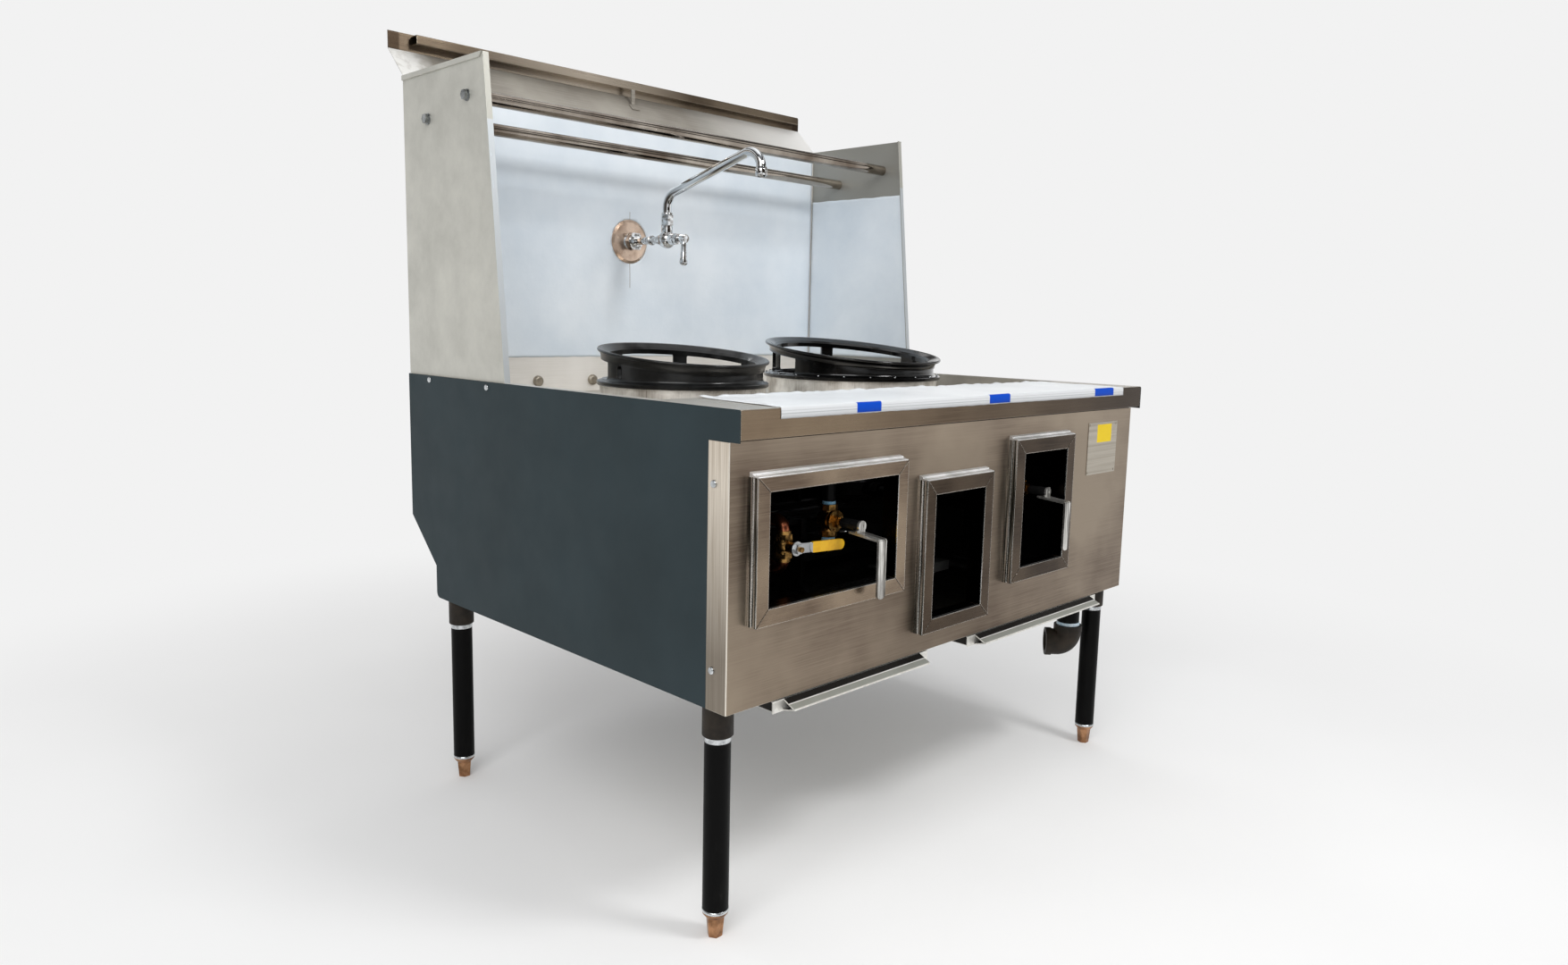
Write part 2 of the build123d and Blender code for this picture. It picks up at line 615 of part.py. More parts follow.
with BuildPart() as top_rail:
    with BuildSketch(front(TOPRAIL_Y)):
        with Locations((0, TOPRAIL_Z + TOPRAIL_H / 2)):
            Rectangle(BODY_W - 2 * WING_X, TOPRAIL_H)
    extrude(amount=-SHEET)
    # stiffening return along the bottom, behind the face
    with BuildSketch(side(WING_X + 20)):
        with BuildLine():
            Polyline(*yz([
                (TOPRAIL_Y + SHEET, TOPRAIL_Z), (TOPRAIL_Y + TOPRAIL_D, TOPRAIL_Z),
                (TOPRAIL_Y + TOPRAIL_D, TOPRAIL_Z + 10),
                (TOPRAIL_Y + TOPRAIL_D - SHEET, TOPRAIL_Z + 10),
                (TOPRAIL_Y + TOPRAIL_D - SHEET, TOPRAIL_Z + SHEET),
                (TOPRAIL_Y + SHEET, TOPRAIL_Z + SHEET)]), close=True)
        make_face()
    extrude(amount=BODY_W - 2 * WING_X - 40)
pieces["top_rail"] = top_rail

with BuildPart() as rail_channel:
    with BuildSketch(side(BODY_W / 2 - 551.6)):
        with BuildLine():
            Polyline(*yz([(TOPRAIL_Y + a, TOPRAIL_Z + b) for a, b in (
                (-0.2, 32), (-22, 32), (-22, 13), (-0.2, 13),
                (-0.2, 15), (-20, 15), (-20, 30), (-0.2, 30))]), close=True)
        make_face()
    extrude(amount=BODY_W - 88.2)
    outer_edges = rail_channel.edges().filter_by(Axis.X).group_by(Axis.Y)[0]
    fillet(outer_edges, 1.6)
pieces["rail_channel"] = rail_channel

with BuildPart() as rail_bracket:
    with BuildSketch(side(604.6)):
        with BuildLine():
            Polyline(*yz([(TOPRAIL_Y + a, TOPRAIL_Z + b) for a, b in (
                (-26.4, 13), (-22.4, 13), (-22.5, -22.05), (-38.1, -37.45),
                (-39.9, -35.7), (-26.4, -22.1))]), close=True)
        make_face()
    extrude(amount=10)
    with BuildSketch(Plane(origin=(X(609.6), Y(TOPRAIL_Y - 31.6), TOPRAIL_Z - 31.1),
                           x_dir=(1, 0, 0), z_dir=(0, -65.4, 64.6))):
        RectangleRounded(24, 18, 3)
    extrude(amount=2.2)
pieces["rail_bracket"] = rail_bracket

with BuildPart() as rack_rods:
    for y, z in ROD_POS:
        with BuildSketch(side(WING_X + SHEET + 0.2)):
            with Locations((Y(y), z)):
                Circle(ROD_R)
        extrude(amount=BODY_W - 2 * (WING_X + SHEET + 0.2))
    for y, z in ROD_POS:
        with BuildSketch(side(WING_X + SHEET + 24)):
            with Locations((Y(y), z)):
                Circle(ROD_R - 1.6)
        extrude(amount=BODY_W - 2 * (WING_X + SHEET + 24), mode=Mode.SUBTRACT)
        with BuildSketch(side(WING_X)):
            with Locations((Y(y), z)):
                Circle(5.05)
        extrude(amount=BODY_W - 2 * WING_X, mode=Mode.SUBTRACT)
pieces["rack_rods"] = rack_rods

with BuildPart() as rod_bolts:
    for y, z in ROD_POS:
        for x, d in ((WING_X - 0.1, -1), (BODY_W - WING_X + 0.1, 1)):
            with BuildSketch(side(x)):
                with Locations((Y(y), z)):
                    Circle(11)
            extrude(amount=2 * d)
            with BuildSketch(side(x + 2 * d)):
                with Locations((Y(y), z)):
                    RegularPolygon(9.8, 6)
            extrude(amount=7 * d)
            with BuildSketch(side(x)):
                with Locations((Y(y), z)):
                    Circle(5)
            extrude(amount=-22 * d)
pieces["rod_bolts"] = rod_bolts

# ---------------------------------------------------------------- protective films
FILM = 0.6
with BuildPart() as splash_film:
    with BuildSketch(front(SPLASH_Y - 0.02)):
        with Locations((0, (875 + 1385) / 2)):
            Rectangle(BODY_W - 2 * WING_X - 2 * SHEET - 8, 1385 - 875)
        with Locations((X(FAUCET_X), FAUCET_Z)):
            Circle(52.6, mode=Mode.SUBTRACT)
        # the film was slit to get it over the faucet
        with Locations((X(570), 1190)):
            Rectangle(1.6, 70, mode=Mode.SUBTRACT)
        with Locations((X(570), 1080)):
            Rectangle(1.6, 72, mode=Mode.SUBTRACT)
    extrude(amount=FILM)
    wing_skin = [(WING_BACK - 6, 880), (WING_BACK - 6, 1300), (WING_FRONT_TOP + 14.5, 1300),
                 (WING_FRONT_BOTTOM + 26, 880)]
    for x, d in ((WING_X + SHEET + 0.02, FILM), (BODY_W - WING_X - SHEET - 0.02, -FILM)):
        with BuildSketch(side(x)):
            with BuildLine():
                Polyline(*yz(wing_skin), close=True)
            make_face()
        extrude(amount=d)
pieces["splash_film"] = splash_film

with BuildPart() as rail_film:
    with BuildSketch(side(84)):
        with BuildLine():
            Polyline(*yz([
                (-RAIL_PROUD - 0.05, 829), (-RAIL_PROUD - 0.05, RIM_Z + 0.05),
                (RAIL_BACK - 4, RIM_Z + 0.05), (RAIL_BACK - 4, RIM_Z + 0.65),
                (-RAIL_PROUD - 0.65, RIM_Z + 0.65), (-RAIL_PROUD - 0.65, 829)]), close=True)
        make_face()
    extrude(amount=1050)
pieces["rail_film"] = rail_film

# ---------------------------------------------------------------- water: nozzles, pipe, faucet
with BuildPart() as splash_nozzles:
    with BuildSketch(front(SPLASH_Y - 0.05)):
        with Locations(*[(X(x), NOZZLE_Z) for x in NOZZLE_X]):
            Circle(12.4)
    extrude(amount=9)
    tips = splash_nozzles.edges().filter_by(GeomType.CIRCLE).group_by(Axis.Y)[0]
    fillet(tips, 6)
    with BuildSketch(front(SPLASH_Y - 0.05)):
        with Locations(*[(X(x), NOZZLE_Z) for x in NOZZLE_X]):
            Circle(8.5)
    extrude(amount=-12.9)
pieces["splash_nozzles"] = splash_nozzles

INLET_R, INLET_L = (20.7, 10.6), 24.0     # threaded ends of the gas and water inlets
PIPE_R = 11.0
BACK_RUN = 1030.0
VALVE2_X, VALVE2_Z = 194.0, 606.0
SUPPLY_Z, DELIVERY_Z = 568.0, 647.0
with BuildPart() as water_pipe:
    # supply: in at the back, forward under the deck, up into the shut-off valve
    with BuildLine() as supply:
        FilletPolyline((X(VALVE2_X), Y(1050), SUPPLY_Z), (X(VALVE2_X), Y(VALVE_Y), SUPPLY_Z),
                       (X(VALVE2_X), Y(VALVE_Y), 588), radius=16)
    with BuildSketch(Plane(supply.line @ 0, z_dir=supply.line % 0)):
        Circle(PIPE_R)
        Circle(PIPE_R - 1.5, mode=Mode.SUBTRACT)
    sweep()
    with BuildSketch(front(1050)):
        with Locations((X(VALVE2_X), SUPPLY_Z)):
            Circle(PIPE_R + 1)
            Circle(INLET_R[1], mode=Mode.SUBTRACT)
    extrude(amount=INLET_L, mode=Mode.SUBTRACT)
    # delivery: from the valve back through the panel and up to the nozzle header
    with BuildLine() as delivery:
        FilletPolyline((X(VALVE2_X), Y(VALVE_Y), 625), (X(VALVE2_X), Y(VALVE_Y), DELIVERY_Z),
                       (X(VALVE2_X), Y(BACK_RUN), DELIVERY_Z),
                       (X(VALVE2_X), Y(BACK_RUN), NOZZLE_Z), (X(930), Y(BACK_RUN), NOZZLE_Z),
                       radius=16)
    with BuildSketch(Plane(delivery.line @ 0, z_dir=delivery.line % 0)):
        Circle(PIPE_R)
    sweep()
    # riser to the faucet
    with BuildLine() as riser:
        FilletPolyline((X(FAUCET_X), Y(BACK_RUN), NOZZLE_Z), (X(FAUCET_X), Y(BACK_RUN), FAUCET_Z),
                       (X(FAUCET_X), Y(SPLASH_Y + SHEET + 0.2), FAUCET_Z), radius=18)
    with BuildSketch(Plane(riser.line @ 0, z_dir=riser.line % 0)):
        Circle(PIPE_R)
    sweep()
pieces["water_pipe"] = water_pipe

with BuildPart() as escutcheon:
    with BuildSketch(Plane.YZ):
        with BuildLine():
            Polyline((Y(SPLASH_Y - 0.05), 9.1), (Y(SPLASH_Y - 0.05), 52),
                     (Y(SPLASH_Y - 1.6), 52), (Y(SPLASH_Y - 4.5), 46),
                     (Y(SPLASH_Y - 6), 20), (Y(SPLASH_Y - 6), 9.1), close=True)
        make_face()
    revolve(axis=Axis.Y)
with BuildPart() as escutcheon_placed:
    add(escutcheon.part.moved(Location((X(FAUCET_X), 0, FAUCET_Z))))
pieces["escutcheon"] = escutcheon_placed

with BuildPart() as faucet_shank:
    with BuildSketch(front(1008)):
        with Locations((X(FAUCET_X), FAUCET_Z)):
            Circle(8.6)
    extrude(amount=1008 - BALL_Y - 14)
    with BuildSketch(front(SPLASH_Y - 6.1)):
        with Locations((X(FAUCET_X), FAUCET_Z)):
            Circle(21)
    extrude(amount=7, taper=25)
    with BuildSketch(front(SPLASH_Y - 13)):
        with Locations((X(FAUCET_X), FAUCET_Z)):
            RegularPolygon(23, 6)
    extrude(amount=15)
    with BuildSketch(front(SPLASH_Y - 28)):
        with Locations((X(FAUCET_X), FAUCET_Z)):
            Circle(16)
    extrude(amount=6, taper=30)
pieces["faucet_shank"] = faucet_shank

with BuildPart() as faucet_body:
    with Locations((X(FAUCET_X), Y(BALL_Y), FAUCET_Z)):
        Sphere(20.5)
    # inlet collar
    with BuildSketch(front(BALL_Y + 30)):
        with Locations((X(FAUCET_X), FAUCET_Z)):
            Circle(11.5)
    extrude(amount=20)
    # valve bonnet and stem towards the cook
    with BuildSketch(front(BALL_Y - 14)):
        with Locations((X(FAUCET_X), FAUCET_Z)):
            Circle(13)
    extrude(amount=18)
    with BuildSketch(front(BALL_Y - 32)):
        with Locations((X(FAUCET_X), FAUCET_Z)):
            RegularPolygon(13.5, 6)
    extrude(amount=10)
    with BuildSketch(front(BALL_Y - 42)):
        with Locations((X(FAUCET_X), FAUCET_Z)):
            Circle(4.5)
    extrude(amount=26)
    # neck and swivel nut that hold the spout
    with BuildSketch(Plane.XY.offset(FAUCET_Z + 14)):
        with Locations((X(FAUCET_X), Y(BALL_Y))):
            Circle(13)
    extrude(amount=18)
    with BuildSketch(Plane.XY.offset(FAUCET_Z + 32)):
        with Locations((X(FAUCET_X), Y(BALL_Y))):
            RegularPolygon(15, 6)
    extrude(amount=24)
    with BuildSketch(Plane.XY.offset(FAUCET_Z + 30)):
        with Locations((X(FAUCET_X), Y(BALL_Y))):
            Circle(9.25)
    extrude(amount=40, mode=Mode.SUBTRACT)
    # the shank screws in from behind
    with BuildSketch(front(BALL_Y + 31)):
        with Locations((X(FAUCET_X), FAUCET_Z)):
            Circle(8.6)
    extrude(amount=17, mode=Mode.SUBTRACT)
pieces["faucet_body"] = faucet_body

with BuildPart() as faucet_spout:
    with BuildLine() as spout_route:
        FilletPolyline((X(FAUCET_X), Y(BALL_Y), FAUCET_Z + 30.3),
                       (X(FAUCET_X), Y(BALL_Y), FAUCET_Z + 102),
                       (X(FAUCET_X), Y(BALL_Y - 280), FAUCET_Z + 183),
                       (X(FAUCET_X), Y(BALL_Y - 317), FAUCET_Z + 119), radius=32)
    with BuildSketch(Plane(spout_route.line @ 0, z_dir=spout_route.line % 0)):
        Circle(9.2)
    sweep()
    tip, tip_dir = spout_route.line @ 1, spout_route.line % 1
    with BuildSketch(Plane(tip - tip_dir * 13, z_dir=tip_dir)):
        Circle(10.8)
    extrude(amount=14)
    with BuildSketch(Plane(tip - tip_dir * 12, z_dir=tip_dir)):
        Circle(8.0)
    extrude(amount=14, mode=Mode.SUBTRACT)
pieces["faucet_spout"] = faucet_spout

with BuildPart() as faucet_handle:
    with BuildSketch(front(BALL_Y - 54)):
        with Locations((X(FAUCET_X), FAUCET_Z)):
            Circle(10)
            Circle(4.55, mode=Mode.SUBTRACT)
    extrude(amount=14.5)
    with BuildSketch(front(BALL_Y - 68.4)):
        with Locations((X(FAUCET_X), FAUCET_Z)):
            Circle(8)
    extrude(amount=3)
# paddle-shaped lever hanging from the hub
with BuildPart() as paddle:
    with BuildSketch(Plane.XZ):
        with BuildLine():
            Polyline((0, -9), (4.2, -9), (4.6, -18), (6.6, -46), (7.0, -54), (5, -58.5),
                     (0, -60), close=True)
        make_face()
    revolve(axis=Axis.Z)
with BuildPart() as handle_whole:
    add(faucet_handle.part)
    add(paddle.part.moved(Location((X(FAUCET_X), Y(BALL_Y - 62), FAUCET_Z))))
pieces["faucet_handle"] = handle_whole

# shut-off valve in the left window, and its flat lever lying crosswise (closed)
with BuildPart() as ball_valve:
    with Locations((X(VALVE2_X), Y(VALVE_Y), VALVE2_Z)):
        Cylinder(14.5, 24)
        Sphere(16)
    for z in (586, 615):
        with BuildSketch(Plane.XY.offset(z)):
            with Locations((X(VALVE2_X), Y(VALVE_Y))):
                RegularPolygon(15.5, 6)
        extrude(amount=11)
    for z in (580, 626):
        with BuildSketch(Plane.XY.offset(z)):
            with Locations((X(VALVE2_X), Y(VALVE_Y))):
                Circle(13.6)
        extrude(amount=6)
    with BuildSketch(Plane.XY.offset(570)):
        with Locations((X(VALVE2_X), Y(VALVE_Y))):
            Circle(PIPE_R)
    extrude(amount=18, mode=Mode.SUBTRACT)
    with BuildSketch(Plane.XY.offset(625)):
        with Locations((X(VALVE2_X), Y(VALVE_Y))):
            Circle(PIPE_R)
    extrude(amount=20, mode=Mode.SUBTRACT)
    with BuildSketch(front(VALVE_Y - 12)):
        with Locations((X(VALVE2_X), VALVE2_Z)):
            Circle(9)
    extrude(amount=14)
    with BuildSketch(front(VALVE_Y - 26)):
        with Locations((X(VALVE2_X), VALVE2_Z)):
            Circle(4.5)
    extrude(amount=19)
pieces["ball_valve"] = ball_valve

SHUTOFF_Y = 50.0
with BuildPart() as shutoff_lever:
    with BuildSketch(front(SHUTOFF_Y)):
        with Locations((X(VALVE2_X), VALVE2_Z)):
            Circle(12)
            Circle(4.55, mode=Mode.SUBTRACT)
    extrude(amount=3)
    with BuildSketch(front(SHUTOFF_Y)):
        with BuildLine():
            Polyline((X(VALVE2_X + 9), VALVE2_Z - 8.5), (X(VALVE2_X + 38), VALVE2_Z - 10),
                     (X(VALVE2_X + 38), VALVE2_Z + 6), (X(VALVE2_X + 9), VALVE2_Z + 8),
                     close=True)
        make_face()
    extrude(amount=3)
    # dipped grip, drooping a little
    with BuildSketch(front(SHUTOFF_Y)):
        with Locations((X(VALVE2_X + 71), VALVE2_Z - 3.8)):
            SlotOverall(84, 18, rotation=-3.2)
    extrude(amount=5)
    # nut on the stem
    with BuildSketch(front(SHUTOFF_Y - 3)):
        with Locations((X(VALVE2_X), VALVE2_Z)):
            RegularPolygon(8.5, 6)
            Circle(4.55, mode=Mode.SUBTRACT)
    extrude(amount=7)
pieces["shutoff_lever"] = shutoff_lever

# ---------------------------------------------------------------- gas
GAS_R = 21.1
with BuildPart() as gas_manifold:
    with BuildLine() as gas_route:
        FilletPolyline((X(60), Y(1050), 752), (X(60), Y(VALVE_Y), 752),
                       (X(1000), Y(VALVE_Y), 752), radius=40)
    with BuildSketch(Plane(gas_route.line @ 0, z_dir=gas_route.line % 0)):
        Circle(GAS_R)
        Circle(GAS_R - 3.4, mode=Mode.SUBTRACT)
    sweep()
    with BuildSketch(front(1050)):
        with Locations((X(60), 752)):
            Circle(GAS_R + 1)
            Circle(INLET_R[0], mode=Mode.SUBTRACT)
    extrude(amount=INLET_L, mode=Mode.SUBTRACT)
    # cap on the far end
    with BuildSketch(side(992)):
        with Locations((Y(VALVE_Y), 752)):
            Circle(25)
    extrude(amount=16)
    for x in VALVE_X:
        with BuildSketch(side(x - 26)):
            with Locations((Y(VALVE_Y), 752)):
                Circle(25)
        extrude(amount=52)
        with BuildSketch(Plane.XY.offset(752)):
            with Locations((X(x), Y(VALVE_Y))):
                Circle(15)
        extrude(amount=-34)
        with BuildSketch(Plane.XY.offset(752)):
            with Locations((X(x), Y(VALVE_Y))):
                Circle(GAS_DROP_R)
        extrude(amount=-(752 - VALVE_Z - 21))
pieces["gas_manifold"] = gas_manifold

with BuildPart() as burner_feeds:
    for x, cy, crown in zip(VALVE_X, BURNER_Y, CROWN_R):
        with BuildLine() as feed:
            FilletPolyline((X(x), Y(VALVE_Y), VALVE_Z - 21), (X(x), Y(VALVE_Y), 581),
                           (X(x), Y(cy - crown - 14), 581), radius=22)
        with BuildSketch(Plane(feed.line @ 0, z_dir=feed.line % 0)):
            Circle(GAS_DROP_R)
        sweep()
        with BuildSketch(front(cy - crown - 14)):
            with Locations((X(x), 581)):
                RegularPolygon(19, 6)
        extrude(amount=16)
pieces["burner_feeds"] = burner_feeds

for i, word in enumerate(("left", "right")):
    vx = X(VALVE_X[i])
    with BuildPart() as main_valve:
        with BuildSketch(Plane.XY.offset(VALVE_Z - 28)):
            with Locations((vx, Y(VALVE_Y))):
                Circle(13.2)
        extrude(amount=56)
        for z in (VALVE_Z - 28, VALVE_Z + 18):
            with BuildSketch(Plane.XY.offset(z)):
                with Locations((vx, Y(VALVE_Y))):
                    RegularPolygon(15.5, 8)
            extrude(amount=10)
        for z in (VALVE_Z - 29, VALVE_Z + 21):
            with BuildSketch(Plane.XY.offset(z)):
                with Locations((vx, Y(VALVE_Y))):
                    Circle(GAS_DROP_R)
            extrude(amount=8, mode=Mode.SUBTRACT)
        # bowl with two bolted discs, then the packing nut
        with BuildSketch(front(VALVE_Y + 14)):
            with Locations((vx, VALVE_Z)):
                Circle(15)
        extrude(amount=24)
        for y, r in ((76, 18.8), (71, 16.5), (67, 18.8)):
            with BuildSketch(front(y)):
                with Locations((vx, VALVE_Z)):
                    Circle(r)
            extrude(amount=5)
        with BuildSketch(front(62)):
            with Locations((vx, VALVE_Z)):
                RegularPolygon(11.5, 6)
        extrude(amount=10)
        with BuildSketch(front(52)):
            with Locations((vx, VALVE_Z)):
                Circle(7.5)
        extrude(amount=3)
        with BuildSketch(front(49.2)):
            with Locations((vx, VALVE_Z)):
                Circle(4)
        extrude(amount=20)
    pieces["main_valve_" + word] = main_valve

    # ribbed black sleeve on the stem
    with BuildPart() as lever_sleeve:
        for y, length, bore in ((47, 18, 4.05), (29, 22, 0)):
            with BuildSketch(front(y)):
                with Locations((vx, VALVE_Z)):
                    Circle(8.0)
                    with PolarLocations(8.0, 20):
                        Circle(0.6)
                    if bore:
                        Circle(bore, mode=Mode.SUBTRACT)
            extrude(amount=length)
    pieces["lever_sleeve_" + word] = lever_sleeve

    # knee lever: cap with a socket, strap forward out of the window, then down
    with BuildPart() as knee_lever:
        with BuildSketch(front(6.9)):
            with Locations((vx, VALVE_Z)):
                Circle(9.6)
        extrude(amount=4)
        with BuildSketch(front(3.5)):
            with Locations((vx, VALVE_Z)):
                RegularPolygon(3.6, 6)
        extrude(amount=3, mode=Mode.SUBTRACT)
        with BuildSketch(Plane.YZ.offset(vx - 13)):
            with BuildLine():
                Polyline(*yz([
                    (22, VALVE_Z - 13.0), (22, VALVE_Z - 9.4), (6.9, VALVE_Z - 9.4),
                    (6.9, VALVE_Z - 6), (2.9, VALVE_Z - 6), (2.9, VALVE_Z - 10.0),
                    (-LEVER_FRONT, VALVE_Z - 14.2), (-LEVER_FRONT, LEVER_DROP),
                    (-LEVER_FRONT + 4, LEVER_DROP), (-LEVER_FRONT + 4, VALVE_Z - 18.2)]),
                    close=True)
            make_face()
        extrude(amount=20)
        bend = knee_lever.edges().filter_by(Axis.X).filter_by(
            lambda e: abs(e.center().Z - (VALVE_Z - 14.2)) < 1
            and abs(e.center().Y - Y(-LEVER_FRONT)) < 1)
        fillet(bend, 4.5)
        ends = knee_lever.edges().filter_by(Axis.Y).group_by(Axis.Z)[0]
        fillet(ends, 9)
    pieces["knee_lever_" + word] = knee_lever

# ---------------------------------------------------------------- drip trays and runners
for name, (x0, x_front, x1) in TRAYS.items():
    w = x1 - x0
    xc = X((x0 + x1) / 2)
    w_front = x_front - x0
    xc_front = X((x0 + x_front) / 2)
    with BuildPart() as tray:
        with BuildSketch(Plane.XY.offset(TRAY_TOP - TRAY_H)):
            with Locations((xc, Y(2 + TRAY_DEPTH / 2))):
                Rectangle(w - 12, TRAY_DEPTH)
        extrude(amount=TRAY_H)
        with BuildSketch(Plane.XY.offset(TRAY_TOP - TRAY_H + 1.6)):
            with Locations((xc, Y(2 + TRAY_DEPTH / 2))):
                Rectangle(w - 15.2, TRAY_DEPTH - 3.2)
        extrude(amount=TRAY_H, mode=Mode.SUBTRACT)
        # side lips that ride on the runners
        for sx in (-1, 1):
            with BuildSketch(Plane.XY.offset(TRAY_TOP - 1.6)):
                with Locations((xc + sx * (w / 2 - 3.2), Y(2 + TRAY_DEPTH / 2))):
                    Rectangle(6, TRAY_DEPTH)
            extrude(amount=1.6)
        # front: flat ends and a bent lip to pull by
        with BuildSketch(front(0)):
            with Locations((xc_front, TRAY_TOP - TRAY_H / 2)):
                Rectangle(w_front, TRAY_H)
        extrude(amount=-2)
        with BuildSketch(Plane.YZ.offset(xc_front - w_front / 2 + 24)):
            with BuildLine():
                Polyline(*yz([(0.4, TRAY_TOP), (-25, TRAY_TOP - 12), (-25, TRAY_TOP - 14),
                              (0.4, TRAY_TOP - TRAY_H), (0.4, TRAY_TOP - TRAY_H + 2.2),
                              (-21, TRAY_TOP - 13), (0.4, TRAY_TOP - 2.2)]), close=True)
            make_face()
        extrude(amount=w_front - 48)
    pieces[name] = tray

with BuildPart() as tray_runners:
    for x0, x_front, x1 in TRAYS.values():
        for x, s in ((x0 - 0.4, 1), (x1 + 0.4, -1)):
            with BuildSketch(Plane.XZ.offset(-Y(16))):
                with BuildLine():
                    Polyline((X(x) - 2 * s, 387.4), (X(x) - 2 * s, 379.2), (X(x) + 4.6 * s, 379.2),
                             (X(x) + 4.6 * s, 381.0), (X(x), 381.0), (X(x), 384.6),
                             (X(x) + 14 * s, 384.6), (X(x) + 14 * s, 387.4), close=True)
                make_face()
            extrude(amount=-(TRAY_DEPTH + 20))
pieces["tray_runners"] = tray_runners

# ---------------------------------------------------------------- legs
with BuildPart() as leg_couplings:
    for x in LEG_X:
        for y in LEG_Y:
            with BuildSketch(Plane.XY.offset(COUPLING_Z)):
                with Locations((X(x), Y(y))):
                    Circle(COUPLING_R)
                    Circle(LEG_R, mode=Mode.SUBTRACT)
            extrude(amount=387.4 - COUPLING_Z)
    lower = leg_couplings.edges().filter_by(GeomType.CIRCLE).group_by(Axis.Z)[0]
    chamfer(lower.group_by(SortBy.RADIUS)[-1], 1.5)
pieces["leg_couplings"] = leg_couplings

with BuildPart() as leg_pipes:
    for x in LEG_X:
        for y in LEG_Y:
            with BuildSketch(Plane.XY.offset(PIPE_BOTTOM)):
                with Locations((X(x), Y(y))):
                    Circle(LEG_R)
                    Circle(LEG_R - 3.5, mode=Mode.SUBTRACT)
            extrude(amount=387.4 - PIPE_BOTTOM)
            # insert that the foot screws into
            with BuildSketch(Plane.XY.offset(PIPE_BOTTOM + 1)):
                with Locations((X(x), Y(y))):
                    Circle(LEG_R - 3.5)
                    Circle(8.05, mode=Mode.SUBTRACT)
            extrude(amount=26)
pieces["leg_pipes"] = leg_pipes

for fx, xw in zip(LEG_X, ("left", "right")):
    for fy, yw in zip(LEG_Y, ("front", "rear")):
        with BuildPart() as foot:
            with BuildSketch(Plane.XZ):
                with BuildLine():
                    Polyline((0, 30), (15.5, 33), (20.6, 39.5), (20.6, PIPE_BOTTOM - 0.02),
                             (8, PIPE_BOTTOM - 0.02), (8, 88), (0, 88), close=True)
                make_face()
            revolve(axis=Axis.Z)
            # tapered hexagonal end that stands on the floor
            with BuildSketch(Plane.XY):
                RegularPolygon(12.4, 6)
            extrude(amount=34, taper=-4.5)
        with BuildPart() as foot_placed:
            add(foot.part.moved(Location((X(fx), Y(fy), 0))))
        pieces["foot_" + yw + "_" + xw] = foot_placed

# ---------------------------------------------------------------- small fittings
with BuildPart() as rating_plate:
    with BuildSketch(front(-0.05)):
        with Locations((X(1095), 714.5)):
            RectangleRounded(124, 113, 1.5)
    extrude(amount=1.0)
    with BuildSketch(front(-1.05)):
        with Locations((X(1095), 714.5)):
            with GridLocations(114, 103, 2, 2):
                Circle(2)
    extrude(amount=1.0)
pieces["rating_plate"] = rating_plate

with BuildPart() as panel_screws:
    for x, d in ((-0.05, -1), (BODY_W + 0.05, 1)):
        with BuildSketch(side(x)):
            with Locations(*[(Y(y), z) for y, z in
                             ((913, 837), (685, 835), (33, 733), (33, 448))]):
                Circle(6)
        extrude(amount=3 * d)
    heads = panel_screws.edges().filter_by(GeomType.CIRCLE)
    fillet(heads.group_by(Axis.X)[0], 2.2)
    fillet(panel_screws.edges().filter_by(GeomType.CIRCLE).group_by(Axis.X)[-1], 2.2)
pieces["panel_screws"] = panel_screws

# ---------------------------------------------------------------- write every piece
for name, piece in pieces.items():
    piece.part.label = name
    export_step(piece.part, "parts/" + name + ".step")
print(len(pieces), "pieces")
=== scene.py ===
"""Looks of a two-chamber wok range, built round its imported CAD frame.

Lengths are in millimetres: x from the left end of the body, y from the front panel
backwards and z from the floor. at() brings a point into the frame, which is in metres.
"""
import math

import bmesh
import bpy
from mathutils import Matrix, Vector, noise


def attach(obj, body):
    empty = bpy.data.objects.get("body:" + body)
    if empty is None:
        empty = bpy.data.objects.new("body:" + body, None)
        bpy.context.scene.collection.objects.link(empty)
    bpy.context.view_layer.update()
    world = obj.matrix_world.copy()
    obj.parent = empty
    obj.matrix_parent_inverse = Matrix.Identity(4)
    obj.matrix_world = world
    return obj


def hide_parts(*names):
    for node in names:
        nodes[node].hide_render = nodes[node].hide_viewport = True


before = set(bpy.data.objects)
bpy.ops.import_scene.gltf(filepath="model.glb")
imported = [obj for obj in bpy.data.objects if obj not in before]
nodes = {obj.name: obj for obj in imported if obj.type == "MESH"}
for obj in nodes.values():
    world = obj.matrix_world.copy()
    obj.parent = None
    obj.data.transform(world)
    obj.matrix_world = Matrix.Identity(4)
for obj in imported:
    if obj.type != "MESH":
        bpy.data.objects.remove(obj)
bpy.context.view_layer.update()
BODY = "range_body"

BODY_WIDTH = 1219.2
MIDDLE_Y = 527.0            # the frame's zero lies this far behind the front panel
RIM_TOP = 846.0             # top of the front rail and of the deck's rim
PANEL_BOTTOM = 385.0
SPLASH_FACE = 1006.0
WING_INNER = (8.0, BODY_WIDTH - 8.0)
WING_FILM_TOPS = (1326.0, 1308.0)
FAUCET_X, FAUCET_Z = 569.0, 1155.0
SPOUT_Y, SPOUT_END_Y = 860.0, 543.0
RIGHT_RING = (898.0, 561.0, 852.0)
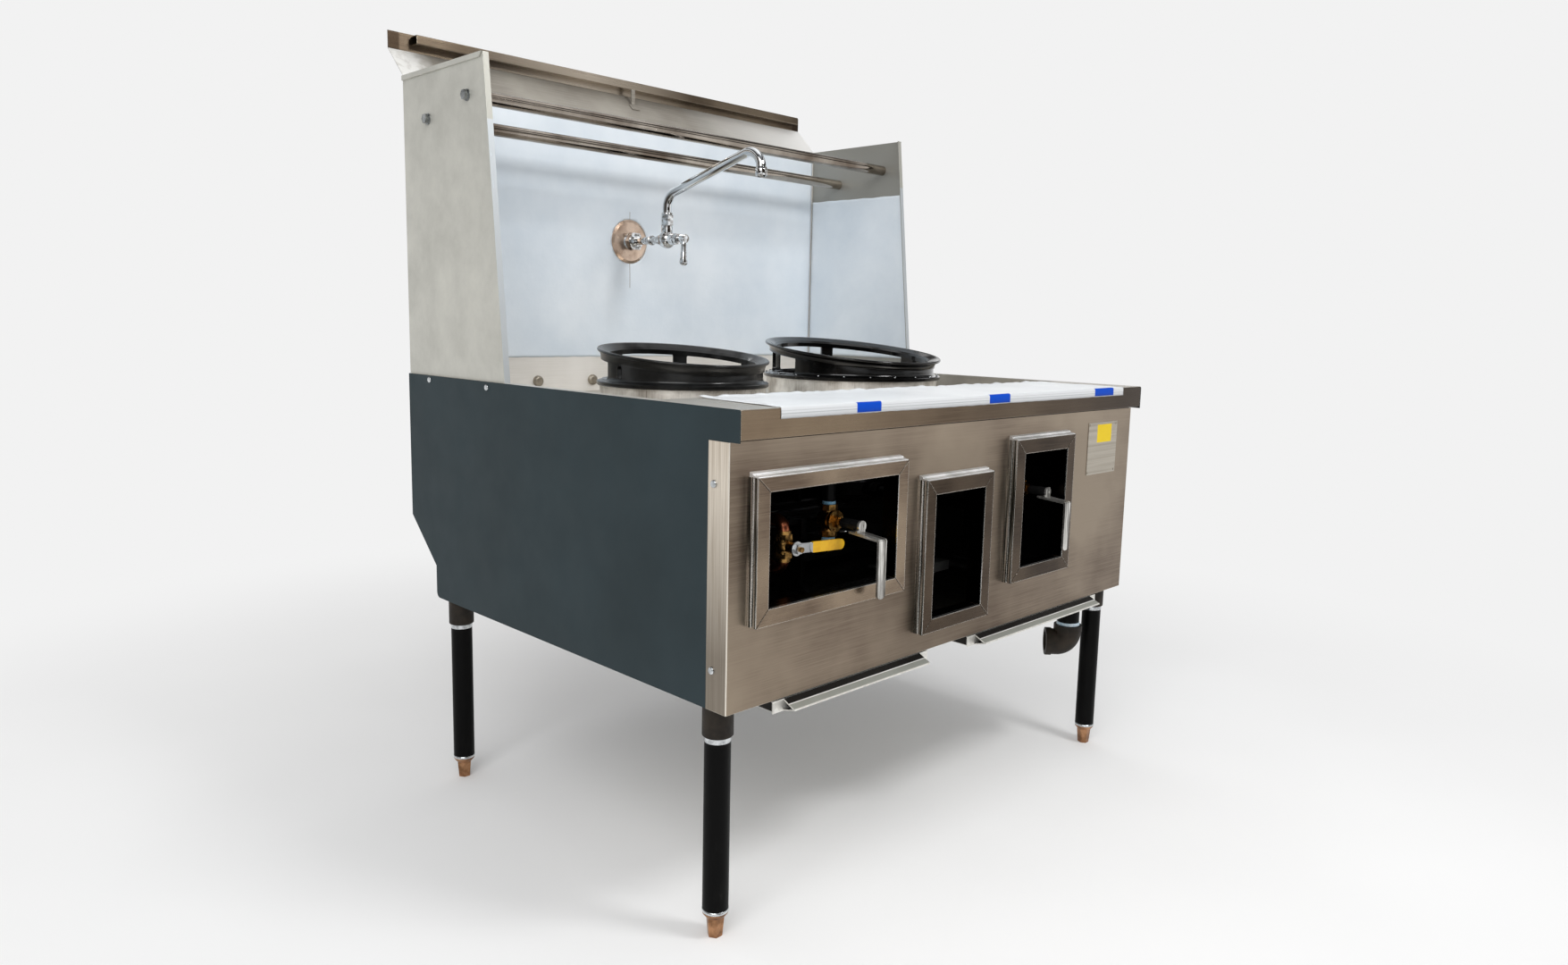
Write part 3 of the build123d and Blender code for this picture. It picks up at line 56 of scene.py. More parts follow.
# each window: its frame's left, right, bottom and top, then its opening's
WINDOW_FRAMES = (
    ((40.0, 393.0, 516.0, 744.0), (65.5, 368.0, 542.0, 721.0)),
    ((449.0, 653.0, 424.5, 702.5), (475.0, 627.0, 449.0, 675.5)),
    ((728.0, 945.0, 473.0, 755.5), (758.0, 917.0, 500.0, 727.5)),
)
FRAME_PROUD = 20.0          # the frames stand this far in front of the panel
VALVE_X = (303.5, 889.0)
VALVE_Y, VALVE_Z = 80.0, 636.5
GRIP_START = 229.0          # x at which the shut-off lever's grip starts
LEGS = [(x, y) for x in (29.5, BODY_WIDTH - 29.5) for y in (50.0, 857.0)]
LEG_RADIUS = 21.1
DRAIN = (1107.0, 62.0, 0.0)


def at(x, y, z):
    """A point in mm, in the frame's metres."""
    return Vector(((x - BODY_WIDTH / 2) / 1000, (y - MIDDLE_Y) / 1000, z / 1000))


# -------- nodes and masks
def linear(code):
    """An sRGB hex value as the linear colour that the shader wants."""
    parts = [int(code[i:i + 2], 16) / 255 for i in (1, 3, 5)]
    return tuple(c / 12.92 if c <= 0.04045 else ((c + 0.055) / 1.055) ** 2.4
                 for c in parts) + (1,)


def put(tree, kind, sockets=None, stops=None, **settings):
    """Adds a node: its settings, its ramp's stops, and a value or a link for each socket."""
    made = tree.nodes.new(kind)
    for name, value in settings.items():
        setattr(made, name, value)
    if stops:
        ramp = made.color_ramp
        while len(ramp.elements) < len(stops):
            ramp.elements.new(0.5)
        for element, (place, code) in zip(ramp.elements, stops):
            element.position = place
            element.color = linear(code)
    for name, value in (sockets or {}).items():
        if isinstance(value, bpy.types.NodeSocket):
            tree.links.new(value, made.inputs[name])
        else:
            made.inputs[name].default_value = value
    return made


def spots(tree, size, seed=0.0, detail=3.0, roughness=0.55, stretch=(1, 1, 1)):
    """Noise whose patches measure about size mm, drawn out along an axis by stretch."""
    coords = put(tree, "ShaderNodeTexCoord").outputs["Object"]
    moved = put(tree, "ShaderNodeMapping", {
        "Vector": coords, "Scale": [1000.0 / (size * s) for s in stretch],
        "Location": (seed, seed * 0.7, seed * 1.3)})
    return put(tree, "ShaderNodeTexNoise", {
        "Vector": moved.outputs[0], "Scale": 1.0, "Detail": detail,
        "Roughness": roughness}).outputs[0]


def pattern(tree, given):
    """A pattern made by its own function, or by spots() from its values."""
    return given(tree) if callable(given) else spots(tree, *given)


def meet(tree, *masks, how="MULTIPLY"):
    """Masks taken together: where all of them hold, or, with MAXIMUM, any of them. A plain
    number thins the whole."""
    made = masks[0]
    for other in masks[1:]:
        made = put(tree, "ShaderNodeMath", {0: made, 1: other}, operation=how).outputs[0]
    return made


def where(tree, **spans):
    """1 inside a box. For each axis named it runs from low to high in mm, either of which may
    be None, and fades over soft mm at each end."""
    zero = {"x": BODY_WIDTH / 2, "y": MIDDLE_Y, "z": 0.0}
    coords = put(tree, "ShaderNodeTexCoord").outputs["Object"]
    split = put(tree, "ShaderNodeSeparateXYZ", {0: coords})
    steps = []
    for axis, (low, high, soft) in spans.items():
        for edge, sign in ((low, 1), (high, -1)):
            if edge is not None:
                place, half = (edge - zero[axis]) / 1000, sign * soft / 2000
                steps.append(put(tree, "ShaderNodeMapRange", {
                    "Value": split.outputs[axis.upper()], "From Min": place - half,
                    "From Max": place + half}).outputs[0])
    return meet(tree, *steps)


def facing(tree, axis, sign):
    """1 on faces that look along an axis, the way that sign says."""
    own = put(tree, "ShaderNodeNewGeometry").outputs["True Normal"]
    turned = meet(tree, put(tree, "ShaderNodeSeparateXYZ", {0: own}).outputs[axis], float(sign))
    return put(tree, "ShaderNodeMath", {0: turned, 1: 0.6}, operation="GREATER_THAN").outputs[0]


def folded_edge(tree, rounded):
    """1 along a fold, where the rounded normal leaves the face's own."""
    own = put(tree, "ShaderNodeNewGeometry").outputs["True Normal"]
    same = put(tree, "ShaderNodeVectorMath", {0: rounded, 1: own}, operation="DOT_PRODUCT")
    return put(tree, "ShaderNodeMapRange", {
        "Value": same.outputs["Value"], "From Min": 0.995, "From Max": 0.86,
        "To Max": 0.8}).outputs[0]


def paint(tree, tint, *coats):
    """Lays each coat over the tint below it: a mask, its colour and, if it is thin, how much
    of it covers."""
    for mask, colour, *share in coats:
        mask = meet(tree, mask, *share)
        below, above = (linear(c) if isinstance(c, str) else c for c in (tint, colour))
        tint = put(tree, "ShaderNodeMix", {0: mask, 6: below, 7: above},
                   data_type="RGBA").outputs[2]
    return tint


def relief(tree, layers, below=None):
    """Bumps one upon the other, each a pattern from 0 to 1 that stands for its depth in mm."""
    for given, depth in layers:
        bump = put(tree, "ShaderNodeBump", {
            "Height": pattern(tree, given), "Distance": depth / 1000, "Strength": 1.0})
        if below is not None:
            tree.links.new(below, bump.inputs["Normal"])
        below = bump.outputs[0]
    return below


def new_material(name):
    """An empty material and its node tree."""
    material = bpy.data.materials.new(name)
    material.use_nodes = True
    material.node_tree.nodes.clear()
    return material, material.node_tree


def shade(tree, **values):
    """The material's one shader. A value that is the same all over sits on its socket, and a
    function of the tree makes one that varies."""
    sockets = {}
    for name, value in values.items():
        if value is not None:
            label = name.replace("_", " ").title().replace("Ior", "IOR")
            sockets[label] = value(tree) if callable(value) else value
    bsdf = put(tree, "ShaderNodeBsdfPrincipled", sockets)
    put(tree, "ShaderNodeOutputMaterial", {"Surface": bsdf.outputs[0]})


# -------- families of finishes
ALONG_X, ALONG_Z = (60, 1, 1), (1, 1, 60)


def surface(name, tone, gloss, bumps=(), coats=None, **shader):
    """A finish from its tone (a pattern and the ramp's stops), its gloss (a pattern and the
    roughness at both its ends), its bumps, and the coats that lie over the tone."""
    material, tree = new_material(name)
    tint = put(tree, "ShaderNodeValToRGB", {0: pattern(tree, tone[0])}, stops=tone[1])
    rough = put(tree, "ShaderNodeMapRange", {
        "Value": pattern(tree, gloss[0]), "To Min": gloss[1], "To Max": gloss[2],
        "From Max": gloss[3] if len(gloss) > 3 else 1.0})
    shade(tree, base_color=paint(tree, tint.outputs[0], *(coats(tree) if coats else ())),
          roughness=rough.outputs[0], normal=relief(tree, bumps), **shader)
    return material


def brushed_sheet(name, dull, clean, grain, rough, patch, seed, line=2.4, coats=None, edge=0.0,
                  dents_mm=1.6, metallic=1.0, edge_highlight="#d8cfc2"):
    """Stainless sheet with a belt-brushed grain: fine parallel lines, drawn 2.4 mm apart so
    that they show, and wide soft patches where hands and wrapping have left it duller. Where
    edge is given, the sheet's folded edges get a painted highlight over that many mm."""
    material, tree = new_material(name)
    lines = spots(tree, line, seed, 2.0, 0.7, grain)
    patches = spots(tree, patch, seed + 3, 4.0, 0.5)
    wide = put(tree, "ShaderNodeValToRGB", {0: patches}, stops=((0.36, dull), (0.64, clean)))
    streaks = put(tree, "ShaderNodeMapRange", {"Value": lines, "From Min": 0.3,
                                               "From Max": 0.7, "To Max": 0.5})
    tint = paint(tree, wide.outputs[0], (streaks.outputs[0], clean))
    below = None
    if edge:
        below = put(tree, "ShaderNodeBevel", {"Radius": edge / 1000}, samples=4).outputs[0]
        tint = paint(tree, tint, (folded_edge(tree, below), edge_highlight))
    if coats:
        tint = paint(tree, tint, *coats(tree))
    gloss = put(tree, "ShaderNodeMapRange", {
        "Value": meet(tree, lines, patches, how="ADD"), "From Min": 0.7, "From Max": 1.3,
        "To Min": rough[1], "To Max": rough[0]})
    dents = (260, seed + 8, 1.0)
    shade(tree, base_color=tint, roughness=gloss.outputs[0], metallic=metallic,
          normal=relief(tree, ((dents, dents_mm), (lambda _: lines, 0.05)), below))
    return material


def frame_sheet(name, dull, clean):
    """Brushed channel of the window frames, with a painted highlight along its folds."""
    return brushed_sheet(name, dull, clean, ALONG_X, (0.22, 0.34), 120, 6.0, 1.6,
                         frame_coats, edge=2.6, edge_highlight="#f0e9df")


def film(name, low, high, crease, coats, specular_ior_level=0.5, coat_weight=0.25):
    """Protective polyethylene film: milky, glossy in folds, with small trapped creases."""
    return surface(name, ((180, 4, 5), ((0.3, low), (0.7, high))), ((30, 2, 4), 0.28, 0.5),
                   (((90, 1, 5, 0.6, (1.6, 1, 1)), crease * 3),
                    ((14, 5, 3, 0.7, (1, 1, 2)), crease * 0.4)),
                   coats, ior=1.5, specular_ior_level=specular_ior_level,
                   coat_weight=coat_weight, coat_roughness=0.2)


def iron(name, dark, light, rough, grain_mm, shine, oil=0.0):
    """Cast iron: sand-cast grain about 2 mm, blackened and oiled."""
    return surface(name, ((28, 3, 6), ((0.35, dark), (0.7, light))), ((9, 8, 4), *rough),
                   (((2.2, 2, 4, 0.65), grain_mm),), specular_ior_level=shine,
                   coat_weight=oil, coat_roughness=0.07)


def metal(name, dull, clean, rough, patch, depth=0.04, grain=2.5, run=(1, 1, 1), metallic=1.0):
    """Small turned, cast or plated metal: uneven tarnish, drawn out along run, and a fine
    surface grain."""
    return surface(name, ((patch, 6, 4, 0.55, run), ((0.35, dull), (0.62, clean))),
                   ((patch / 2, 1, 4), *rough), (((grain, 2, 2), depth),), metallic=metallic)


def plastic(name, dark, light, rough, depth=0.05):
    """Moulded, dipped or painted, with a fine matt grain."""
    return surface(name, ((12, 4, 4), ((0.3, dark), (0.7, light))), ((6, 1, 3), *rough),
                   (((1.6, 2, 2), depth),), ior=1.46)


# -------- patterns and coats of one piece
# dark for faces inside the body: painted shade, with soot
SHADE_AND_SOOT = "#15130f"


def front_coats(tree):
    """Front panel: painted shade and soot behind, painted shade between the windows, a painted
    reflection that makes it a little paler under the rail, and painted bright reflections
    down each end flange, darker lower down. Its folded corner and cut lower edge get a
    painted highlight."""
    streaks = put(tree, "ShaderNodeValToRGB", {0: spots(tree, 2.6, 4, 3, 0.6, ALONG_Z)},
                  stops=((0.3, "#c4b8a8"), (0.7, "#efe6d8")))
    flange = paint(tree, streaks.outputs[0], (where(tree, z=(None, 600, 260)), "#655b4f", 0.8))
    ends = meet(tree, where(tree, x=(None, 1.0, 0.6)),
                where(tree, x=(BODY_WIDTH - 1.0, None, 0.6)), how="MAXIMUM")
    corner = where(tree, x=(None, 1.4, 0.4), y=(None, 1.6, 0.5))
    cut = meet(tree, where(tree, z=(None, PANEL_BOTTOM + 0.2, 1.0)), 0.8)
    return ((where(tree, x=(1.2, BODY_WIDTH - 1.2, 0.4), y=(0.9, None, 0.4)), SHADE_AND_SOOT),
            (where(tree, x=(370, 740, 160), z=(None, 700, 160)), "#43372c", 0.32),
            (ends, flange),
            (where(tree, z=(768, None, 50)), "#c4b39f", 0.22),
            (meet(tree, corner, cut, how="MAXIMUM"), "#efe8dc"))


def frame_coats(tree):
    """Window frames: painted reflections in bright streaks down the left returns, painted light
    on the tops, and painted shade on the returns inside the opening, behind a painted
    highlight along the opening's front edge."""
    streaks = put(tree, "ShaderNodeValToRGB", {0: spots(tree, 3.2, 4, 2, 0.6, ALONG_Z)},
                  stops=((0.40, "#343836"), (0.5, "#9a9e9c"), (0.60, "#ffffff")))
    inside = meet(tree, *(where(tree, x=(left - 1, right + 1, 0.4), z=(bottom - 1, top + 1, 0.4),
                                y=(2.5 - FRAME_PROUD, None, 1.0))
                          for _, (left, right, bottom, top) in WINDOW_FRAMES), how="MAXIMUM")
    upwards = facing(tree, "Z", 1)
    painted_highlight = meet(tree, where(tree, y=(None, 7.5 - FRAME_PROUD, 1.0)), upwards)
    return ((facing(tree, "X", -1), streaks.outputs[0]), (upwards, "#f4f4f2"),
            (meet(tree, inside, painted_highlight, how="SUBTRACT"), "#15120f"))


def rail_coats(tree):
    """Front rail: painted shade that darkens it towards its right end, and painted light on top.
    """
    return ((where(tree, x=(610, None, 1100)), "#2c2118", 0.9),
            (facing(tree, "Z", 1), "#d9d2c6"))


def upper_rail_coats(tree):
    """Top rail: painted shade at its two ends, and a painted highlight left of its middle."""
    ends = meet(tree, where(tree, x=(None, 30, 4)), where(tree, x=(BODY_WIDTH - 30, None, 4)),
                how="MAXIMUM")
    return (ends, "#33281f", 0.8), (where(tree, x=(330, 640, 320)), "#cfc3b3", 0.75)


def leaning_coats(tree):
    """Leaning panel: painted highlights in spots at its left end, and painted light all over its
    right end.
    """
    painted_highlight = meet(tree, where(tree, x=(None, 70, 50)), spots(tree, 16, 2, 4))
    return (painted_highlight, "#e4e3df", 2.0), (where(tree, x=(980, None, 420)), "#f2f1ee", 0.95)


def deck_coats(tree):
    """The deck's underside is painted dark: painted shade, with smoke and grease."""
    return ((facing(tree, "Z", -1), SHADE_AND_SOOT),)


def back_coats(tree):
    """The rear panel's inner side is painted dark: painted shade, with soot."""
    return ((where(tree, y=(None, SPLASH_FACE - 2.1, 0.3), z=(500, None, 60)), SHADE_AND_SOOT),)


def side_coats(tree):
    """The enamel is on the outer face only: inside, below the rim, the sheet is painted dark:
    painted shade, with soot.
    """
    return ((where(tree, x=(1.2, BODY_WIDTH - 1.2, 0.4), z=(None, RIM_TOP - 8, 4)), "#101110"),)


def wing_coats(tree):
    """Wings: painted shade makes them greyer inside, with a front fold that is cooler as high as
    the film goes.
    """
    fold = paint(tree, "#b0afa7", (where(tree, z=(None, WING_FILM_TOPS[0], 2)), "#b9bec1"))
    inner_left, inner_right = WING_INNER
    return ((where(tree, x=(inner_left - 0.6, inner_right + 0.6, 0.4)), "#989791"),
            (facing(tree, "Y", -1), fold))


def splash_film_coats(tree):
    """The film was slit above and below the faucet's rose to pass it."""
    slit = dict(x=(FAUCET_X + 0.2, FAUCET_X + 1.8, 0.5), y=(1000, None, 1))
    return ((where(tree, z=(1206, 1226, 1), **slit), "#8f8c88"),
            (where(tree, z=(1044, 1104, 1), **slit), "#8f8c88"))


def printed_bars(tree):
    """Three plain bars along the rail film's front edge."""
    return meet(tree, *(where(tree, x=(left, right, 1.2), z=(831, None, 0.6),
                              y=(None, -17.0, 1.0))
                        for left, right in ((252, 312), (622, 690), (1010, 1090))),
                how="MAXIMUM")


def matt_where_printed(bare):
    """A value that falls from bare to almost nothing on the film's matt ink."""
    return lambda tree: put(tree, "ShaderNodeMapRange", {
        "Value": printed_bars(tree), "To Min": bare, "To Max": 0.04}).outputs[0]


def rail_film_coats(tree):
    """Rail film: painted shade down the nose, where its folds draw thin lines of painted shade,
    then the print.
    """
    coats = [(where(tree, y=(None, -20.0, 0.8)), "#cfd1d3")]
    for low, high, colour in ((836.2, 837.6, "#9a9d9f"), (840.6, 841.8, "#b4b6b8"),
                              (829.0, 830.6, "#a7a9ab")):
        coats.append((where(tree, z=(low, high, 0.5), y=(None, -20.5, 0.5)), colour, 0.7))
    return coats + [(printed_bars(tree), "#0a45b4")]


def pipe_scuffs(tree):
    """Long scuffs down a pipe, in some places only."""
    return meet(tree, spots(tree, 3.0, 2, 4, 0.7, (1, 1, 9)), spots(tree, 90, 5, 3))


def tube_streaks(tree):
    """Painted reflections in streaks down a tube, on the way round and along it that its own
    attribute holds.
    """
    coords = put(tree, "ShaderNodeAttribute", attribute_name="along_tube")
    moved = put(tree, "ShaderNodeMapping", {"Vector": coords.outputs["Vector"],
                                            "Scale": (1.5, 1.5, 5.0)})
    return put(tree, "ShaderNodeTexNoise", {"Vector": moved.outputs[0], "Scale": 1.0,
                                            "Detail": 2.0}).outputs[0]


def lever_shank(tree):
    """1 on the bare end of the shut-off lever, from the stem to the grip."""
    return where(tree, x=(None, GRIP_START, 1.0))


def lever_coats(tree):
    return ((lever_shank(tree), "#c9cbcc"),)


def spangle(tree, channel=0):
    """One value for each zinc crystal, about 9 mm across."""
    coords = put(tree, "ShaderNodeTexCoord").outputs["Object"]
    moved = put(tree, "ShaderNodeMapping", {"Vector": coords, "Scale": (110,) * 3})
    crystal = put(tree, "ShaderNodeTexVoronoi", {"Vector": moved.outputs[0], "Scale": 1.0})
    return put(tree, "ShaderNodeSeparateXYZ", {0: crystal.outputs["Color"]}).outputs[channel]


def tray_coats(tree):
    """Burnt grease and painted shade inside the trays. The fold of a tray's front has painted
    shade behind its lip and painted highlights along its top."""
    upwards = facing(tree, "Z", 1)
    coats = [(where(tree, y=(3.5, None, 1.0), z=(364, None, 0.5)), "#1c1915")]
    for front, back, colour in ((-11.5, 1.2, "#1d1c1a"), (-13.5, -11.5, "#fbfaf8"),
                                (-23.5, -13.5, "#aeb0a8"), (-26.0, -23.5, "#f3f1ec")):
        coats.append((meet(tree, where(tree, y=(front, back, 0.6)), upwards), colour))
    return coats


def plate_coats(tree):
    """A plain yellow sticker at the plate's top."""
    return ((where(tree, x=(1070, 1132, 0.5), z=(727, 766, 0.5), y=(None, -0.6, 0.2)),
             "#f0cf00"),)


# -------- finishes
finishes = {
    # belt-brushed sheet: long soft streaks, brown-grey as a painted reflection of the room it
    # mirrors
    "front": brushed_sheet("brushed_stainless_front", "#695a4e", "#988a79", ALONG_X,
                           (0.30, 0.42), 260, 2.0, coats=front_coats),
    "rail": brushed_sheet("brushed_stainless_rail", "#6a5949", "#8f7d68", ALONG_X,
                          (0.24, 0.36), 300, 3.0, coats=rail_coats, edge=1.6),
    "window": frame_sheet("brushed_stainless_frame", "#625347", "#948370"),
    # the middle and right windows' channel, in painted shade: they mirror a darker part of the
    # room
    "window_shade": frame_sheet("brushed_stainless_frame_shade", "#2f241b", "#54473a"),
    # bright strip over the frames: a painted highlight along their tops
    "return": brushed_sheet("painted_highlight_return", "#a9aaa6", "#ffffff", ALONG_X, (0.34, 0.5),
                            60, 3.0, edge=1.2, dents_mm=0.4, metallic=0.7, edge_highlight="#ffffff"),
    # heat-tinted weld metal: a dark dull line in each mitre
    "weld": metal("ground_weld", "#2a221b", "#55483b", (0.4, 0.6), 6),
    # brushed sheet gone brown with heat
    "upper": brushed_sheet("heat_browned_rail", "#3a2e25", "#776a5a", ALONG_X, (0.26, 0.38),
                           190, 8.0, coats=upper_rail_coats, edge=2.2, edge_highlight="#cfc3b2"),
    # annealed skin: dull and greyer than the brushed sheet
    "lean": brushed_sheet("dull_annealed_sheet", "#837d74", "#a8a399", ALONG_X, (0.44, 0.56),
                          190, 9.0, coats=leaning_coats, metallic=0.45),
    # pale, almost matt sheet with faint level streaks
    "splash": brushed_sheet("brushed_stainless_splash", "#dedad3", "#f6f3ee", ALONG_X,
                            (0.42, 0.54), 240, 5.0, metallic=0.45),
    "deck": brushed_sheet("brushed_stainless_deck", "#b3aea5", "#dcd8d0", ALONG_X,
                          (0.34, 0.48), 200, 7.0, coats=deck_coats, metallic=0.85),
    # rolled collar: brushed up and down, with tall light and dark patches of painted reflection
    "shroud": brushed_sheet("brushed_stainless_collar", "#a29a8f", "#fffcf6", ALONG_Z,
                            (0.30, 0.44), 44, 4.0, metallic=0.7),
    # polished tube: clear reflections, tinted brown
    "rod": metal("polished_stainless_tube", "#75695e", "#b8afa4", (0.07, 0.13), 140, 0.0),
    "back": brushed_sheet("plain_back_sheet", "#8f8f8b", "#a9a9a5", ALONG_X, (0.34, 0.46),
                          240, 5.0, coats=back_coats),
    # dark slate enamel sprayed on sheet: a slight orange peel and rubbed dull spots
    "enamel": surface("sprayed_slate_enamel", ((320, 5, 5), ((0.3, "#1f2c30"), (0.7, "#27353a"))),
                      ((60, 7, 6), 0.48, 0.66), (((380, 2, 1.0), 1.5), ((3.0, 1, 2), 0.05)),
                      side_coats, ior=1.5, specular_ior_level=0.25),
    # pale grey mill finish: matt and lightly stained
    "wing": surface("mill_finish_sheet", ((110, 9, 7, 0.66), (
        (0.3, "#b9b8b0"), (0.55, "#c8c7bf"), (0.75, "#d2d1c8"))), ((4.0, 3, 3), 0.40, 0.56),
        (((240, 6, 1.0), 1.0), ((4.0, 2, 3), 0.06)), wing_coats, metallic=0.55),
    "splash_film": film("blue_protective_film", "#d2dce5", "#e4ebf1", 0.5, splash_film_coats),
    "rail_film": film("white_protective_film", "#d8dbde", "#e8ebed", 0.7, rail_film_coats,
                      matt_where_printed(0.5), matt_where_printed(0.25)),
    # left ring and chambers: black and dry, with soft highlights
    "iron_matt": iron("sand_cast_iron", "#080808", "#1b1c1c", (0.24, 0.38), 0.14, 0.24, 0.3),
    # right ring: wet with oil, so its highlights are small and sharp
    "iron_gloss": iron("oiled_cast_iron", "#030303", "#090909", (0.12, 0.22), 0.06, 0.26, 0.4),
    # lacquered steel pipe: black, scuffed to grey along its length
    "black_pipe": surface("lacquered_black_pipe", (pipe_scuffs, (
        (0.30, "#050505"), (0.42, "#0c0c0b"), (0.56, "#2e2b28"))), (pipe_scuffs, 0.28, 0.55, 0.6),
        (((6, 3, 3), 0.12),), ior=1.5, specular_ior_level=0.08),
    # brushed-on paint, flat black
    "frame_paint": plastic("black_frame_paint", "#0d0d0c", "#181816", (0.5, 0.7), 0.08),
    # malleable iron: rough brown-black skin
    "malleable": iron("malleable_iron_fitting", "#1a1510", "#30281f", (0.45, 0.65), 0.35, 0.25),
    # copper-brown plating, worn pale at random
    "foot": metal("bronze_plated_foot", "#7d5a40", "#b98c68", (0.25, 0.45), 18),
    # sand-cast brass: tarnished brown in its hollows, golden where handled
    "brass": metal("cast_brass", "#5c4526", "#b98f52", (0.2, 0.38), 12, 0.10, 2.0),
    "copper": metal("bare_copper", "#8f4f38", "#c87a58", (0.2, 0.4), 22),
    # bright chrome: painted reflections run in light and dark streaks down its length
    "tube_chrome": surface("chrome_plated_tube", (tube_streaks, (
        (0.38, "#5c554e"), (0.46, "#c9ccce"), (0.62, "#f4f6f7"))), ((12, 3, 2), 0.05, 0.10),
        metallic=1.0),
    # bright chrome on small castings, broken into light and dark by painted reflections
    "chrome": metal("chrome_plate", "#7d766f", "#eef1f3", (0.04, 0.09), 8, 0.01),
    # bright zinc: a cool sheen
    "zinc": metal("zinc_plated_steel", "#aeb2b4", "#dcdfe1", (0.16, 0.32), 10),
    # bright zinc strap: its light and dark streaks are painted reflections
    "lever_zinc": metal("bright_zinc_strap", "#4b4640", "#e3e1dc", (0.18, 0.3), 9, 0.03,
                        run=(1, 12, 12), metallic=0.8),
    "bolt": metal("tarnished_zinc_bolt", "#5c5f60", "#a3a6a7", (0.2, 0.36), 14),
    # satin nickel: soft highlights on the small nozzles
    "nozzle": metal("satin_nickel_nozzle", "#8f877a", "#b3aa9c", (0.34, 0.46), 20),
    # tinted plating: a warm, soft shine
    "rose": metal("bronze_tinted_plate", "#bda38f", "#ead2be", (0.22, 0.36), 30),
    # moulded plastic: matt black
    "sleeve": plastic("ribbed_black_sleeve", "#0c0c0c", "#1b1b1b", (0.35, 0.5)),
    # yellow dipped vinyl over the grip, bright zinc at the stem
    "lever": surface("dipped_vinyl_lever", ((14, 4, 3), ((0.3, "#dfa60a"), (0.7, "#f0bd1c"))),
                     ((5, 1, 3), 0.22, 0.42), (), lever_coats,
                     ior=1.46, metallic=lever_shank),
    # zinc-dipped sheet: each spangle crystal has its own grey and its own gloss
    "galvanised": surface("galvanised_sheet", (spangle, ((0.0, "#cfcdc7"), (1.0, "#e8e6e0"))),
                          (lambda tree: spangle(tree, 1), 0.36, 0.48), (), tray_coats,
                          metallic=0.6),
    # satin aluminium, left bare
    "plate": surface("satin_aluminium_plate", ((5, 4, 4, 0.6, ALONG_X), (
        (0.3, "#9f978a"), (0.7, "#b9b2a6"))), ((4, 1, 3, 0.6, ALONG_X), 0.35, 0.5), (),
        plate_coats, metallic=0.6),
    # wound tape: soft, with a dull sheen
    "pale_tape": plastic("thread_seal_tape_pale", "#9fbdd0", "#eef5fa", (0.4, 0.6), 0.15),
    "tape": plastic("thread_seal_tape", "#5f9fc4", "#a9d3ea", (0.4, 0.6), 0.15),
}

WEARS = {
    "front": "front_panel",
    "rail": "front_rail",
    "window": "window_frame_left",
    "window_shade": "window_frame_middle window_frame_right",
    "upper": "top_rail rail_channel",
    "lean": "leaning_panel rail_bracket",
    "splash": "splash_panel",
    "deck": "deck",
    "shroud": "chamber_shroud_left chamber_shroud_right",
    "rod": "rack_rods",
    "back": "rear_panel",
    "enamel": "left_side_panel right_side_panel",
    "wing": "left_wing right_wing",
    "splash_film": "splash_film",
    "rail_film": "rail_film",
    "iron_matt": "wok_ring_left fire_chamber_left fire_chamber_right burner_left burner_right",
    "iron_gloss": "wok_ring_right",
    "black_pipe": "leg_pipes gas_manifold burner_feeds drain_pipe",
    "frame_paint": "base_frame",
    "malleable": "leg_couplings drain_elbow",
    "foot": "foot_front_left foot_front_right foot_rear_left foot_rear_right",
    "brass": "ball_valve main_valve_left main_valve_right",
    "copper": "water_pipe",
    "chrome": "faucet_body faucet_handle faucet_shank faucet_spout drain_strainer",
    "zinc": "panel_screws",
    "lever_zinc": "knee_lever_left knee_lever_right",
    "bolt": "rod_bolts",
    "rose": "escutcheon",
    "nozzle": "splash_nozzles",
    "sleeve": "lever_sleeve_left lever_sleeve_right",
    "lever": "shutoff_lever",
    "galvanised": "drip_tray_left drip_tray_right tray_runners",
    "plate": "rating_plate",
}
for finish, wearers in WEARS.items():
    for node_name in wearers.split():
        nodes[node_name].material_slots[0].material = finishes[finish]


# -------- making pieces
def in_scene(name, data):
    """A new object of the scene, at the origin."""
    made = bpy.data.objects.new(name, data)
    bpy.context.scene.collection.objects.link(made)
    return made


def settle(made, body):
    """Puts a finished piece on its body."""
    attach(made, body)
    return made


def harden(made):
    """Turns the modifiers into plain mesh and takes them off."""
    bpy.context.view_layer.update()
    dg = bpy.context.evaluated_depsgraph_get()
    mesh = bpy.data.meshes.new_from_object(made.evaluated_get(dg))
    made.modifiers.clear()
    made.data = mesh


def new_piece(name, verts, faces, finish, body=BODY, thick=0.0, smooth=True):
    """A piece from its points and faces: loose points out, doubles merged, faces turned
    outwards, and then, for a thin skin, its thickness in mm."""
    mesh = bpy.data.meshes.new(name)
    mesh.from_pydata([tuple(v) for v in verts], [], faces)
    bm = bmesh.new()
    bm.from_mesh(mesh)
    bmesh.ops.delete(bm, geom=[v for v in bm.verts if not v.link_faces], context="VERTS")
    bmesh.ops.remove_doubles(bm, verts=bm.verts, dist=1e-7)
    bmesh.ops.recalc_face_normals(bm, faces=bm.faces)
    bm.to_mesh(mesh)
    bm.free()
    mesh.polygons.foreach_set("use_smooth", [smooth] * len(mesh.polygons))
    mesh.materials.append(finishes[finish])
    made = in_scene(name, mesh)
    if thick:
        wall = made.modifiers.new("thickness", "SOLIDIFY")
        wall.thickness = thick / 1000
        wall.offset = 0.0
        harden(made)
    return settle(made, body)


